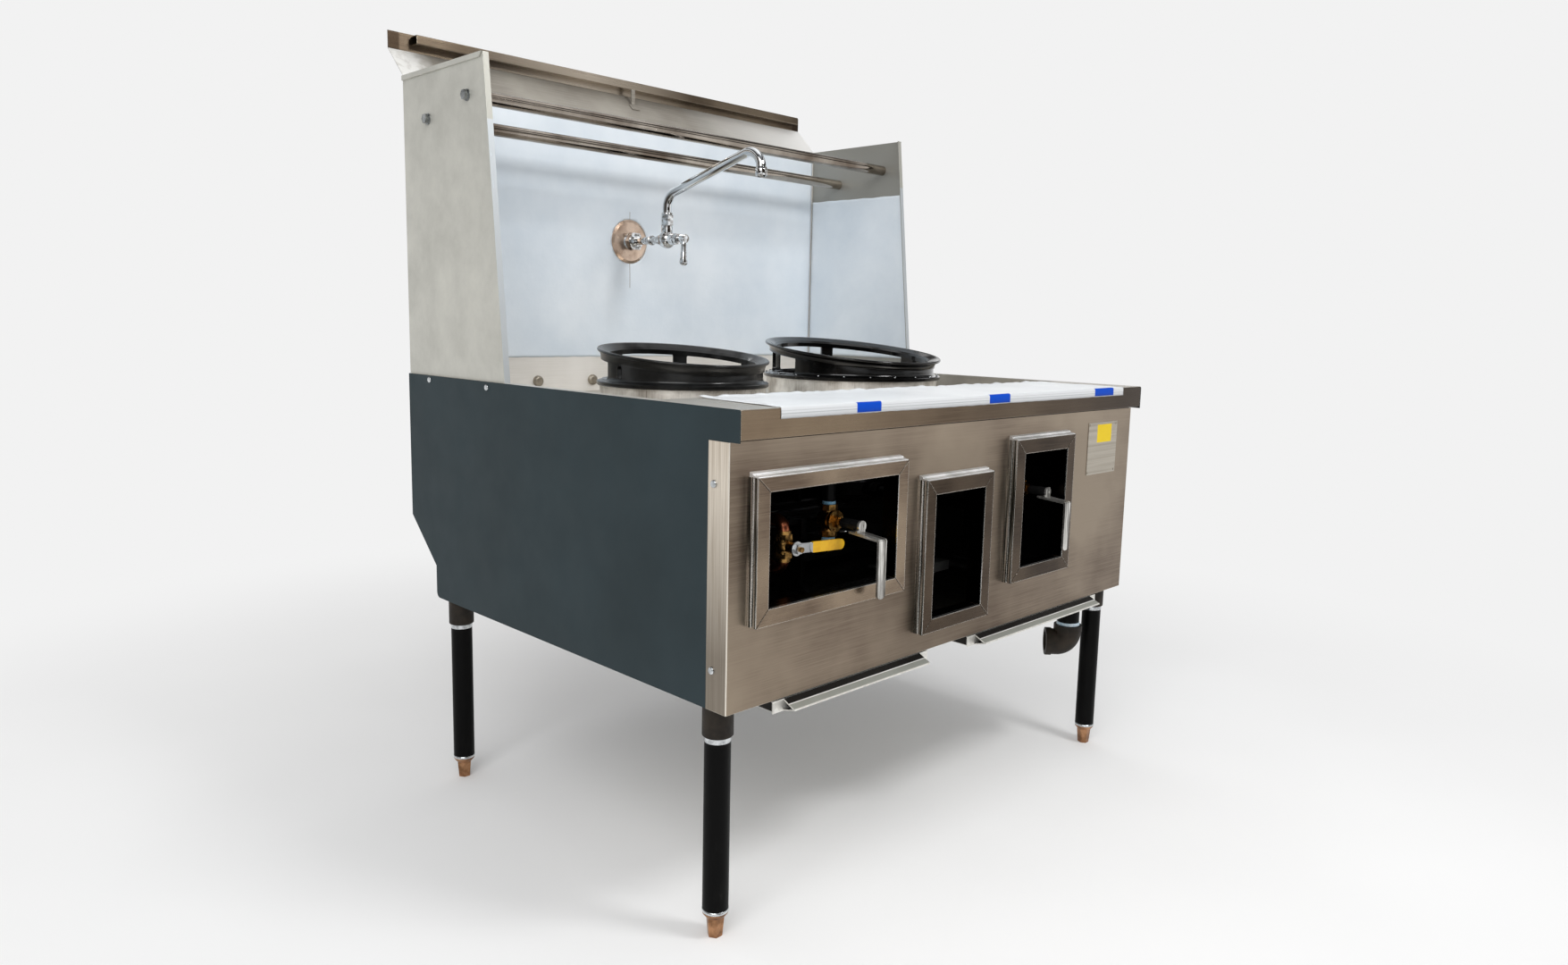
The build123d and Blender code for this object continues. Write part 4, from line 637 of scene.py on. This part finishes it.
def grid_faces(rows, cols, keep=None):
    """Squares between neighbouring points, where all four corners are kept."""
    faces = []
    for r in range(rows - 1):
        for c in range(cols - 1):
            corners = (r * cols + c, r * cols + c + 1, (r + 1) * cols + c + 1, (r + 1) * cols + c)
            if keep is None or all(keep[i] for i in corners):
                faces.append(corners)
    return faces


def ripple(x, z, seed, size):
    """Smooth noise from -1 to 1 whose waves are about size mm long."""
    return noise.noise(Vector((x / size, z / size, seed)))


# -------- protective films
FILM_THICK = 0.3
FILM_MARGIN = 12.0          # from the body's end to the splash film's edge
ROSE_HOLE = 52.0            # radius of the film's cut round the faucet's rose


def splash_film_sheet():
    """Film over the splash, cut round the faucet's rose, with soft pulls towards the cut."""
    cols, rows = 200, 95
    bottom, height = 877.0, 562.0
    right = BODY_WIDTH - FILM_MARGIN
    points, keep = [], []
    for r in range(rows):
        for c in range(cols):
            x = FILM_MARGIN + (right - FILM_MARGIN) * c / (cols - 1)
            z = bottom + height * r / (rows - 1)
            if r == 0:
                z += 1.2 * ripple(x, 0, 3, 22)
            if r == rows - 1:
                z += 3.0 * ripple(x, 9, 4, 40)
            dx, dz = x - FAUCET_X, z - FAUCET_Z
            far = math.hypot(dx, dz)
            if ROSE_HOLE - 5.0 < far < ROSE_HOLE + 3.0:
                # points near the cut are drawn onto it, so that it comes out round
                edge = ROSE_HOLE + 0.8
                dx, dz = dx * edge / far, dz * edge / far
                x, z, far = FAUCET_X + dx, FAUCET_Z + dz, edge
            pull = math.exp(-far / 260) * 0.9 * math.sin(math.atan2(dz, dx) * 7 + 1.0)
            lift = 0.5 + 0.5 * ripple(x, z, 1, 160) + 0.35 * ripple(x, z, 2, 55) + 0.6 * pull
            stuck = min(1.0, (x - FILM_MARGIN) / 40, (right - x) / 40,
                        max(0.0, (far - ROSE_HOLE) / 30))
            points.append(at(x, SPLASH_FACE - 0.35 - max(0.0, lift) * max(0.0, stuck), z))
            keep.append(far > ROSE_HOLE)
    made = new_piece("splash_film_sheet", points, grid_faces(rows, cols, keep), "splash_film",
                     thick=FILM_THICK)
    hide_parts("splash_film")


def wing_film_sheet(name, x_wall, inward, top, seed):
    """Film on a wing's inner face; its front edge was torn along the fold."""
    cols, rows = 60, 70
    bottom = 880.0
    points = []
    for r in range(rows):
        z = bottom + (top - bottom) * r / (rows - 1)
        front = 632.0 + (z - RIM_TOP) / 10      # follows the wing's sloped fold
        front += 2.6 * ripple(0, z, seed, 26) + 1.2 * ripple(0, z, seed + 5, 7)
        for c in range(cols):
            y = front + (SPLASH_FACE - 2.0 - front) * c / (cols - 1)
            end = 2.0 * ripple(y, 1, seed, 40) if r == rows - 1 else 0
            lift = 0.35 + 0.45 * ripple(y, z, seed + 2, 90) + (1.2 * (1 - c / 3) if c < 3 else 0)
            points.append(at(x_wall + inward * (0.25 + max(0.0, lift)), y, z + end))
    new_piece(name, points, grid_faces(rows, cols), "splash_film",
              thick=FILM_THICK)


def rail_film_sheet():
    """Film over the front rail: tight round the nose, loose and puckered along its back edge,
    its left end cut on the slant."""
    nose = [(-22.0, 829.5), (-21.9, 838.0), (-21.8, 844.0), (-20.6, 846.7), (-17.0, 847.1)]
    nose_end = nose[-1][0]
    left_end, right_end, back_edge = 82.0, 1134.0, 186.0
    cols, steps = 264, 34
    rows = len(nose) + steps
    points = []
    for c in range(cols):
        for r in range(rows):
            slant = 19.8 * max(0.0, r / (rows - 1) - 0.08)
            left = left_end + slant
            x = left + (right_end - left) * c / (cols - 1)
            if r < len(nose):
                y, z = nose[r]
                z += 0.5 * ripple(x, r, 1, 60)
                if r == 0:
                    z += 0.5 * ripple(x, 0, 8, 18)
            else:
                back = back_edge + 3.4 * ripple(x, 0, 6, 45) + 2.0 * ripple(x, 2, 7, 16)
                t = (r - len(nose) + 1) / steps
                y = nose_end + (back - nose_end) * t
                loose = 0.5 + 0.5 * ripple(x, y, 3, 50) + 0.35 * ripple(x, y, 4, 18)
                pucker = max(0.0, t - 0.86) / 0.14
                z = RIM_TOP + 0.5 + 1.3 * loose * min(1, t * 6)
                z += pucker * 3.4 * max(0.0, 0.45 + ripple(x, 4, 5, 24))
            points.append(at(x, y, z))
    made = new_piece("rail_film_sheet", points, grid_faces(cols, rows), "rail_film",
                     thick=0.35)
    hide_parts("rail_film")


splash_film_sheet()
wing_film_sheet("wing_film_left", WING_INNER[0], 1, WING_FILM_TOPS[0], 11)
wing_film_sheet("wing_film_right", WING_INNER[1], -1, WING_FILM_TOPS[1], 23)
rail_film_sheet()


# -------- repeats, with geometry nodes
def start_tree(name, **inputs):
    """A tree with a geometry in and out, and a named input for each size."""
    tree = bpy.data.node_groups.new(name, "GeometryNodeTree")
    for label, kind in {"Geometry": "Geometry", **inputs, "Finish": "Material"}.items():
        tree.interface.new_socket(label, in_out="INPUT", socket_type="NodeSocket" + kind)
    tree.interface.new_socket("Geometry", in_out="OUTPUT", socket_type="NodeSocketGeometry")
    return tree, put(tree, "NodeGroupInput").outputs


def end_tree(tree, given, copies):
    """Makes the copies real and gives them their finish."""
    real = put(tree, "GeometryNodeRealizeInstances", {0: copies.outputs[0]})
    done = put(tree, "GeometryNodeSetMaterial", {"Geometry": real.outputs[0],
                                                 "Material": given["Finish"]})
    put(tree, "NodeGroupOutput", {0: done.outputs[0]})
    return tree


def bead_tree():
    """Small lumps laid along a path: Size is a lump's width in metres, Spacing their pitch."""
    tree, given = start_tree("lumps_along_path", Spacing="Float", Size="Float", Seed="Int")
    path = put(tree, "GeometryNodeMeshToCurve", {0: given["Geometry"]})
    even = put(tree, "GeometryNodeResampleCurve", {"Curve": path.outputs[0],
                                                   "Length": given["Spacing"]}, mode="LENGTH")
    lump = put(tree, "GeometryNodeMeshIcoSphere", {"Radius": 0.5, "Subdivisions": 2})
    jitter = put(tree, "FunctionNodeRandomValue", {2: 0.75, 3: 1.2, "Seed": given["Seed"]})
    size = meet(tree, given["Size"], jitter.outputs[1])
    laid = put(tree, "GeometryNodeInstanceOnPoints", {
        "Points": even.outputs[0], "Instance": lump.outputs[0], "Scale": size})
    return end_tree(tree, given, laid)


def stud_tree():
    """A small tapered head on every vertex of the base mesh, standing towards Facing."""
    tree, given = start_tree("studs_on_points", Radius="Float", Height="Float", Sides="Int",
                             Facing="Vector")
    stud = put(tree, "GeometryNodeMeshCone", {
        "Vertices": given["Sides"], "Radius Bottom": given["Radius"],
        "Radius Top": meet(tree, given["Radius"], 0.72), "Depth": given["Height"]})
    turn = put(tree, "FunctionNodeAlignRotationToVector", {"Vector": given["Facing"]}, axis="Z")
    laid = put(tree, "GeometryNodeInstanceOnPoints", {
        "Points": given["Geometry"], "Instance": stud.outputs[0], "Rotation": turn.outputs[0]})
    return end_tree(tree, given, laid)


def grow(name, points, edges, tree, values, body=BODY):
    """Runs a tree on some points and edges, and keeps the result as a plain mesh."""
    base = bpy.data.meshes.new(name + "_base")
    base.from_pydata([tuple(at(*p)) for p in points], edges, [])
    made = in_scene(name, base)
    grower = made.modifiers.new("grow", "NODES")
    grower.node_group = tree
    for item in tree.interface.items_tree:
        if item.in_out == "INPUT" and item.name in values:
            grower[item.identifier] = values[item.name]
    harden(made)
    made.data.polygons.foreach_set("use_smooth", [True] * len(made.data.polygons))
    return settle(made, body)


LUMPS, STUDS = bead_tree(), stud_tree()


def weld_beads():
    """Mitres of the three window frames, ground nearly flush: a thin bead is left on each."""
    face, back = -FRAME_PROUD, 2.0
    points, edges = [], []
    for (left, right, bottom, top), (in_left, in_right, in_bottom, in_top) in WINDOW_FRAMES:
        for xa, xb in ((left, in_left), (right, in_right)):
            for za, zb in ((bottom, in_bottom), (top, in_top)):
                for line in (((xa, face - 0.05, za), (xb, face - 0.05, zb)),
                             ((xb, face, zb), (xb, back, zb))):
                    edges.append((len(points), len(points) + 1))
                    points += line
    grow("window_weld_beads", points, edges, LUMPS,
         {"Spacing": 0.0008, "Size": 0.0010, "Seed": 4, "Finish": finishes["weld"]})


def studs(name, places, facing_way, radius, height, finish, body=BODY, sides=8):
    """Screw heads at places in mm, all standing the same way."""
    grow(name, places, [], STUDS,
         {"Radius": radius / 1000, "Height": height / 1000, "Sides": sides,
          "Facing": facing_way, "Finish": finishes[finish]}, body)


def round_places(centre, radius, count, start, axis="Z"):
    """Places on a circle round the centre, level, or upright where axis is Y."""
    x, y, z = centre
    made = []
    for i in range(count):
        angle = math.radians(start) + 2 * math.pi * i / count
        u, v = radius * math.cos(angle), radius * math.sin(angle)
        made.append((x + u, y + v, z) if axis == "Z" else (x + u, y, z + v))
    return made


def frame_tops():
    """Sloped return along the top of each window frame, where it is welded to the panel."""
    section = ((-19.4, -0.5), (-18.6, 1.2), (-8.0, 3.2), (-7.4, 5.6), (-0.05, 7.4), (-0.05, -0.5))
    count = len(section)
    verts, faces = [], []
    for (left, right, _, top), _ in WINDOW_FRAMES:
        start = len(verts)
        verts += [at(x, y, top + up) for x in (left + 0.3, right - 0.3) for y, up in section]
        for i in range(count):
            j = (i + 1) % count
            faces.append((start + i, start + j, start + count + j, start + count + i))
        faces += [tuple(range(start, start + count))[::-1],
                  tuple(range(start + count, start + 2 * count))]
    new_piece("frame_top_returns", verts, faces, "return", smooth=False)


def bottom_sheets():
    """Closing sheets under the base frame, beside and behind the trays, in black paint that stands
    in for the shade under the body.
    """
    tray_left, tray_right = (95.2, 497.8), (616.2, 1077.8)
    back, behind_trays, under = 900, 625, PANEL_BOTTOM + 1.6
    points, faces = [], []
    for left, right, front, end in (
            (56, 95, 40, back), (498, 616, 30, back), (1078, 1162, 92, back),
            (*tray_left, behind_trays, back), (*tray_right, behind_trays, back),
            (2.5, 55.8, 92, 815), (1162.2, 1216.7, 92, 815)):
        faces.append(tuple(range(len(points), len(points) + 4)))
        points += [at(x, y, under) for x, y in ((left, front), (right, front), (right, end),
                                                (left, end))]
    new_piece("bottom_sheets", points, faces, "frame_paint", thick=0.8)


frame_tops()
weld_beads()
# screws that hold the right ring's flange, and those in the discs of the two gas valves
studs("ring_flange_screws", round_places(RIGHT_RING, 205.5, 22, 4), (0, 0, 1), 2.6, 2.4,
      "zinc", "wok_ring_right_body")
for i, x in enumerate(VALVE_X):
    studs("valve_disc_screws_%d" % i, round_places((x, VALVE_Y - 18.6, VALVE_Z), 15.6, 6, 12, "Y"),
          (0, -1, 0), 1.9, 1.8, "brass")
bottom_sheets()


# -------- turned and bent pieces
def lathe(name, profile, centre, finish, body=BODY, steps=48, axis="Z"):
    """A closed ring turned from a profile of (radius, height) points, in mm."""
    verts, faces = [], []
    count = len(profile)
    for s in range(steps):
        angle = 2 * math.pi * s / steps
        for radius, height in profile:
            x, y, z = radius * math.cos(angle), radius * math.sin(angle), height
            if axis == "Y":
                x, y, z = x, -z, y
            verts.append(at(centre[0] + x, centre[1] + y, centre[2] + z))
        for p in range(count):
            a, b = s * count + p, s * count + (p + 1) % count
            c, d = ((s + 1) % steps) * count + (p + 1) % count, ((s + 1) % steps) * count + p
            faces.append((a, d, c, b))
    new_piece(name, verts, faces, finish, body)


def thread_profile(radius, low, high, pitch=1.8, depth=0.5):
    """Outer side in and out at every turn of a thread, closed along the pipe."""
    profile = [(radius - 0.6, low)]
    z = low
    while z < high - pitch / 2:
        profile += [(radius + 0.1, z), (radius + depth, z + pitch * 0.4),
                    (radius + 0.1, z + pitch * 0.8)]
        z += pitch
    profile.append((radius - 0.6, high))
    return profile


def bent_path(corners, radius, steps=14):
    """A polyline with its corners rounded, as a tube bender leaves them."""
    corners = [Vector(c) for c in corners]
    path = [corners[0]]
    for before, corner, after in zip(corners, corners[1:], corners[2:]):
        u, v = (before - corner).normalized(), (after - corner).normalized()
        half = u.angle(v) / 2
        centre = corner + (u + v).normalized() * radius / math.sin(half)
        start, end = (corner + side * radius / math.tan(half) for side in (u, v))
        a, b = (start - centre).normalized(), (end - centre).normalized()
        path += [centre + a.slerp(b, i / steps) * radius for i in range(steps + 1)]
    path.append(corners[-1])
    return path


def tube(name, path, radii, finish, body, sides=28):
    """A closed tube along a path, its radius given at each point. The attribute along_tube
    holds the way round it and the length along it, in metres, for a finish that follows."""
    verts, faces, follow = [], [], []
    across = Vector((1, 0, 0))
    run = 0.0
    for i, (point, radius) in enumerate(zip(path, radii)):
        ahead = (path[min(i + 1, len(path) - 1)] - path[max(i - 1, 0)]).normalized()
        up = ahead.cross(across).normalized()
        run += (point - path[max(i - 1, 0)]).length / 1000
        for k in range(sides):
            angle = 2 * math.pi * k / sides
            out = across * math.cos(angle) + up * math.sin(angle)
            verts.append(at(*(point + out * radius)))
            follow.append((math.cos(angle), math.sin(angle), run))
    for i in range(len(path) - 1):
        for k in range(sides):
            a, b = i * sides + k, i * sides + (k + 1) % sides
            faces.append((a, b, b + sides, a + sides))
    faces += [tuple(range(sides))[::-1], tuple(range(len(verts) - sides, len(verts)))]
    made = new_piece(name, verts, faces, finish, body)
    along = made.data.attributes.new("along_tube", "FLOAT_VECTOR", "POINT")
    for value, vector in zip(along.data, follow):
        value.vector = vector
    return made


# the faucet's spout: one bent tube with a turned ferrule, open at its end
spout_line = bent_path([(FAUCET_X, SPOUT_Y, FAUCET_Z + 30.6), (FAUCET_X, SPOUT_Y, FAUCET_Z + 99.5),
                        (FAUCET_X, SPOUT_END_Y + 2, FAUCET_Z + 185.2),
                        (FAUCET_X, SPOUT_END_Y, FAUCET_Z + 122)], 38)
spout = tube("spout_tube", spout_line, [10.4] * len(spout_line), "tube_chrome", "spout")
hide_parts("faucet_spout")
ferrule = [(9.2, 118.8), (9.2, 121.0), (12.2, 121.4), (12.9, 123.0), (12.9, 134.0), (12.3, 136.2),
           (11.2, 137.4), (11.2, 139.5), (10.2, 140.0), (9.6, 139.0), (9.6, 124.0), (8.6, 123.0)]
lathe("spout_ferrule", ferrule, (FAUCET_X, SPOUT_END_Y, FAUCET_Z), "chrome", "spout")
collar = [(10.2, 56.4), (12.6, 56.4), (13.2, 58.0), (12.8, 60.2), (11.2, 61.6), (10.2, 62.0)]
lathe("spout_collar", collar, (FAUCET_X, SPOUT_Y, FAUCET_Z), "chrome", "spout")

# the tap handle's paddle: narrow at the hub, broad and thick at its end, as (way down, radius)
paddle = ((6, 4.6), (9, 5.6), (13, 6.0), (20, 6.2), (32, 7.0), (44, 8.2), (53, 9.2), (57.5, 8.9),
          (60, 6.6), (61.2, 1.5))
tube("handle_paddle", [Vector((FAUCET_X, SPOUT_Y - 62, FAUCET_Z - down)) for down, _ in paddle],
     [radius for _, radius in paddle], "chrome", "tap_handle")
for i, (inner, outer, h) in enumerate(((10.4, 11.6, -57.0), (8.8, 10.6, -61.5))):
    lathe("handle_ring_%d" % i, [(inner - 1.2, h), (inner, h - 0.2), (outer, h + 1.0),
                                 (outer, h + 2.6), (inner, h + 3.6), (inner - 1.2, h + 3.4)],
          (FAUCET_X, SPOUT_Y, FAUCET_Z), "chrome", "tap_handle", axis="Y")

# bright cut threads where each leg pipe enters its coupling, and its faced lower end
for i, (x, y) in enumerate(LEGS):
    lathe("leg_thread_%d" % i, thread_profile(LEG_RADIUS, 325.0, 333.5), (x, y, 0), "zinc")
    lathe("leg_end_%d" % i, [(20.0, 42.2), (21.3, 42.2), (21.5, 44.0), (21.4, 47.5), (20.0, 47.5)],
          (x, y, 0), "zinc")

# seal tape at the valve unions and above the drain elbow
for i, x in enumerate(VALVE_X):
    for z in (VALVE_Z + 28.5, VALVE_Z - 33.5):
        lathe("union_tape_%d_%d" % (i, z), [(10.3, z - 5.2), (11.3, z - 5.0), (11.8, z - 1.0),
                                            (11.4, z + 2.0), (11.7, z + 4.6), (10.3, z + 5.0)],
              (x, VALVE_Y, 0), "tape")
lathe("drain_tape", [(23.8, 300.2), (25.4, 300.2), (26.0, 302.5), (25.2, 305.0), (25.7, 307.5),
                     (23.8, 308.0)], DRAIN, "pale_tape")


# -------- stage, light and camera
def seen_by(tree):
    """1 for the rays that show the backdrop: straight to the eye, or by way of metal or glass."""
    path = put(tree, "ShaderNodeLightPath").outputs
    return meet(tree, path["Is Camera Ray"], path["Is Glossy Ray"], path["Is Transmission Ray"],
                how="MAXIMUM")


def studio_floor():
    """A pale floor that fades into the backdrop away from the object, and keeps its shadow."""
    size = 14.0
    floor = bpy.data.meshes.new("studio_floor")
    floor.from_pydata([(-size, -size, 0), (size, -size, 0), (size, size, 0), (-size, size, 0)],
                      [], [(0, 1, 2, 3)])
    ground = in_scene("studio_floor", floor)
    material, tree = new_material("pale_floor")
    grey = put(tree, "ShaderNodeValToRGB", {0: spots(tree, 900, 1, 2)},
               stops=((0.3, "#eeeeee"), (0.7, "#f4f4f4")))
    bsdf = put(tree, "ShaderNodeBsdfPrincipled", {"Base Color": grey.outputs[0],
                                                  "Roughness": 0.8})
    coords = put(tree, "ShaderNodeTexCoord").outputs["Object"]
    reach = put(tree, "ShaderNodeVectorMath", {0: coords}, operation="LENGTH")
    fade = put(tree, "ShaderNodeMapRange", {
        "Value": reach.outputs["Value"], "From Min": 0.75, "From Max": 2.6},
               interpolation_type="SMOOTHSTEP")
    glow = put(tree, "ShaderNodeEmission", {"Color": linear("#f2f2f2"), "Strength": 1.0})
    faded = put(tree, "ShaderNodeMixShader", {0: meet(tree, fade.outputs[0], seen_by(tree)),
                                              1: bsdf.outputs[0], 2: glow.outputs[0]})
    put(tree, "ShaderNodeOutputMaterial", {"Surface": faded.outputs[0]})
    floor.materials.append(material)


def studio_walls():
    """White walls with darker gaps between them, so that metal has something to mirror."""
    world = bpy.data.worlds.new("studio_world")
    bpy.context.scene.world = world
    world.use_nodes = True
    tree = world.node_tree
    tree.nodes.clear()
    coords = put(tree, "ShaderNodeTexCoord")
    split = put(tree, "ShaderNodeSeparateXYZ", {0: coords.outputs["Generated"]})
    walls = put(tree, "ShaderNodeValToRGB", {0: split.outputs["Z"]}, stops=(
        (0.0, "#f2f2f2"), (0.22, "#eeeeee"), (0.29, "#3f3d3b"), (0.42, "#3a3837"),
        (0.48, "#e8e8e8"), (0.62, "#dedede"), (0.70, "#3f3d3c"), (0.88, "#8a8c90")))
    gaps = [put(tree, "ShaderNodeMapRange", {
        "Value": split.outputs[axis], "From Min": -0.84, "From Max": -0.90}).outputs[0]
        for axis in ("X", "Y")]
    camera_ray = put(tree, "ShaderNodeLightPath").outputs["Is Camera Ray"]
    sky = paint(tree, walls.outputs[0], (meet(tree, *gaps, how="MAXIMUM"), "#3a322b"),
                (camera_ray, "#f2f2f2"))
    shown = put(tree, "ShaderNodeBackground", {"Color": sky, "Strength": 1.0})
    lighting = put(tree, "ShaderNodeBackground", {"Color": (1, 1, 1, 1), "Strength": 0.62})
    mixed = put(tree, "ShaderNodeMixShader", {0: seen_by(tree), 1: lighting.outputs[0],
                                              2: shown.outputs[0]})
    put(tree, "ShaderNodeOutputWorld", {0: mixed.outputs[0]})


def softbox(name, place, target, width, power):
    """A square lamp, width metres wide, that looks at its target."""
    lamp = bpy.data.lights.new(name, "AREA")
    lamp.size = width
    lamp.energy = power
    holder = in_scene(name, lamp)
    holder.location = place
    holder.rotation_euler = (Vector(target) - Vector(place)).to_track_quat("-Z", "Y").to_euler()


def photo_camera():
    """The photograph's own angle: place, turn and lens solved from the body's straight edges."""
    yaw, pitch, roll = (math.radians(a) for a in (45.573, -7.932, 1.358))
    photo_width, focal_pixels = 1755, 1176.36
    ahead = Vector((math.sin(yaw) * math.cos(pitch), math.cos(yaw) * math.cos(pitch),
                    math.sin(pitch)))
    right = Vector((math.cos(yaw), -math.sin(yaw), 0))
    up = right.cross(ahead)
    across = right * math.cos(roll) + up * math.sin(roll)
    upward = up * math.cos(roll) - right * math.sin(roll)
    data = bpy.data.cameras.new("photo_camera")
    data.sensor_fit = "HORIZONTAL"
    data.sensor_width = 36.0
    data.lens = focal_pixels / photo_width * data.sensor_width
    data.shift_x = -0.0056
    data.shift_y = -0.00965
    data.clip_end = 100
    camera = in_scene("photo_camera", data)
    turn = Matrix((across, upward, -ahead)).transposed().to_4x4()
    camera.matrix_world = Matrix.Translation((-1.6197, -1.6456, 0.9733)) @ turn
    bpy.context.scene.camera = camera


studio_floor()
studio_walls()
softbox("softbox_left", (-2.6, -1.6, 2.9), (0, 0, 0.8), 2.2, 58)
softbox("softbox_front", (0.5, -2.3, 2.9), (0.0, 0.3, 0.9), 0.7, 36)
softbox("softbox_top", (0.2, 0.4, 3.4), (0, 0, 0.8), 2.4, 14)
photo_camera()
bpy.context.scene.view_settings.view_transform = "Standard"
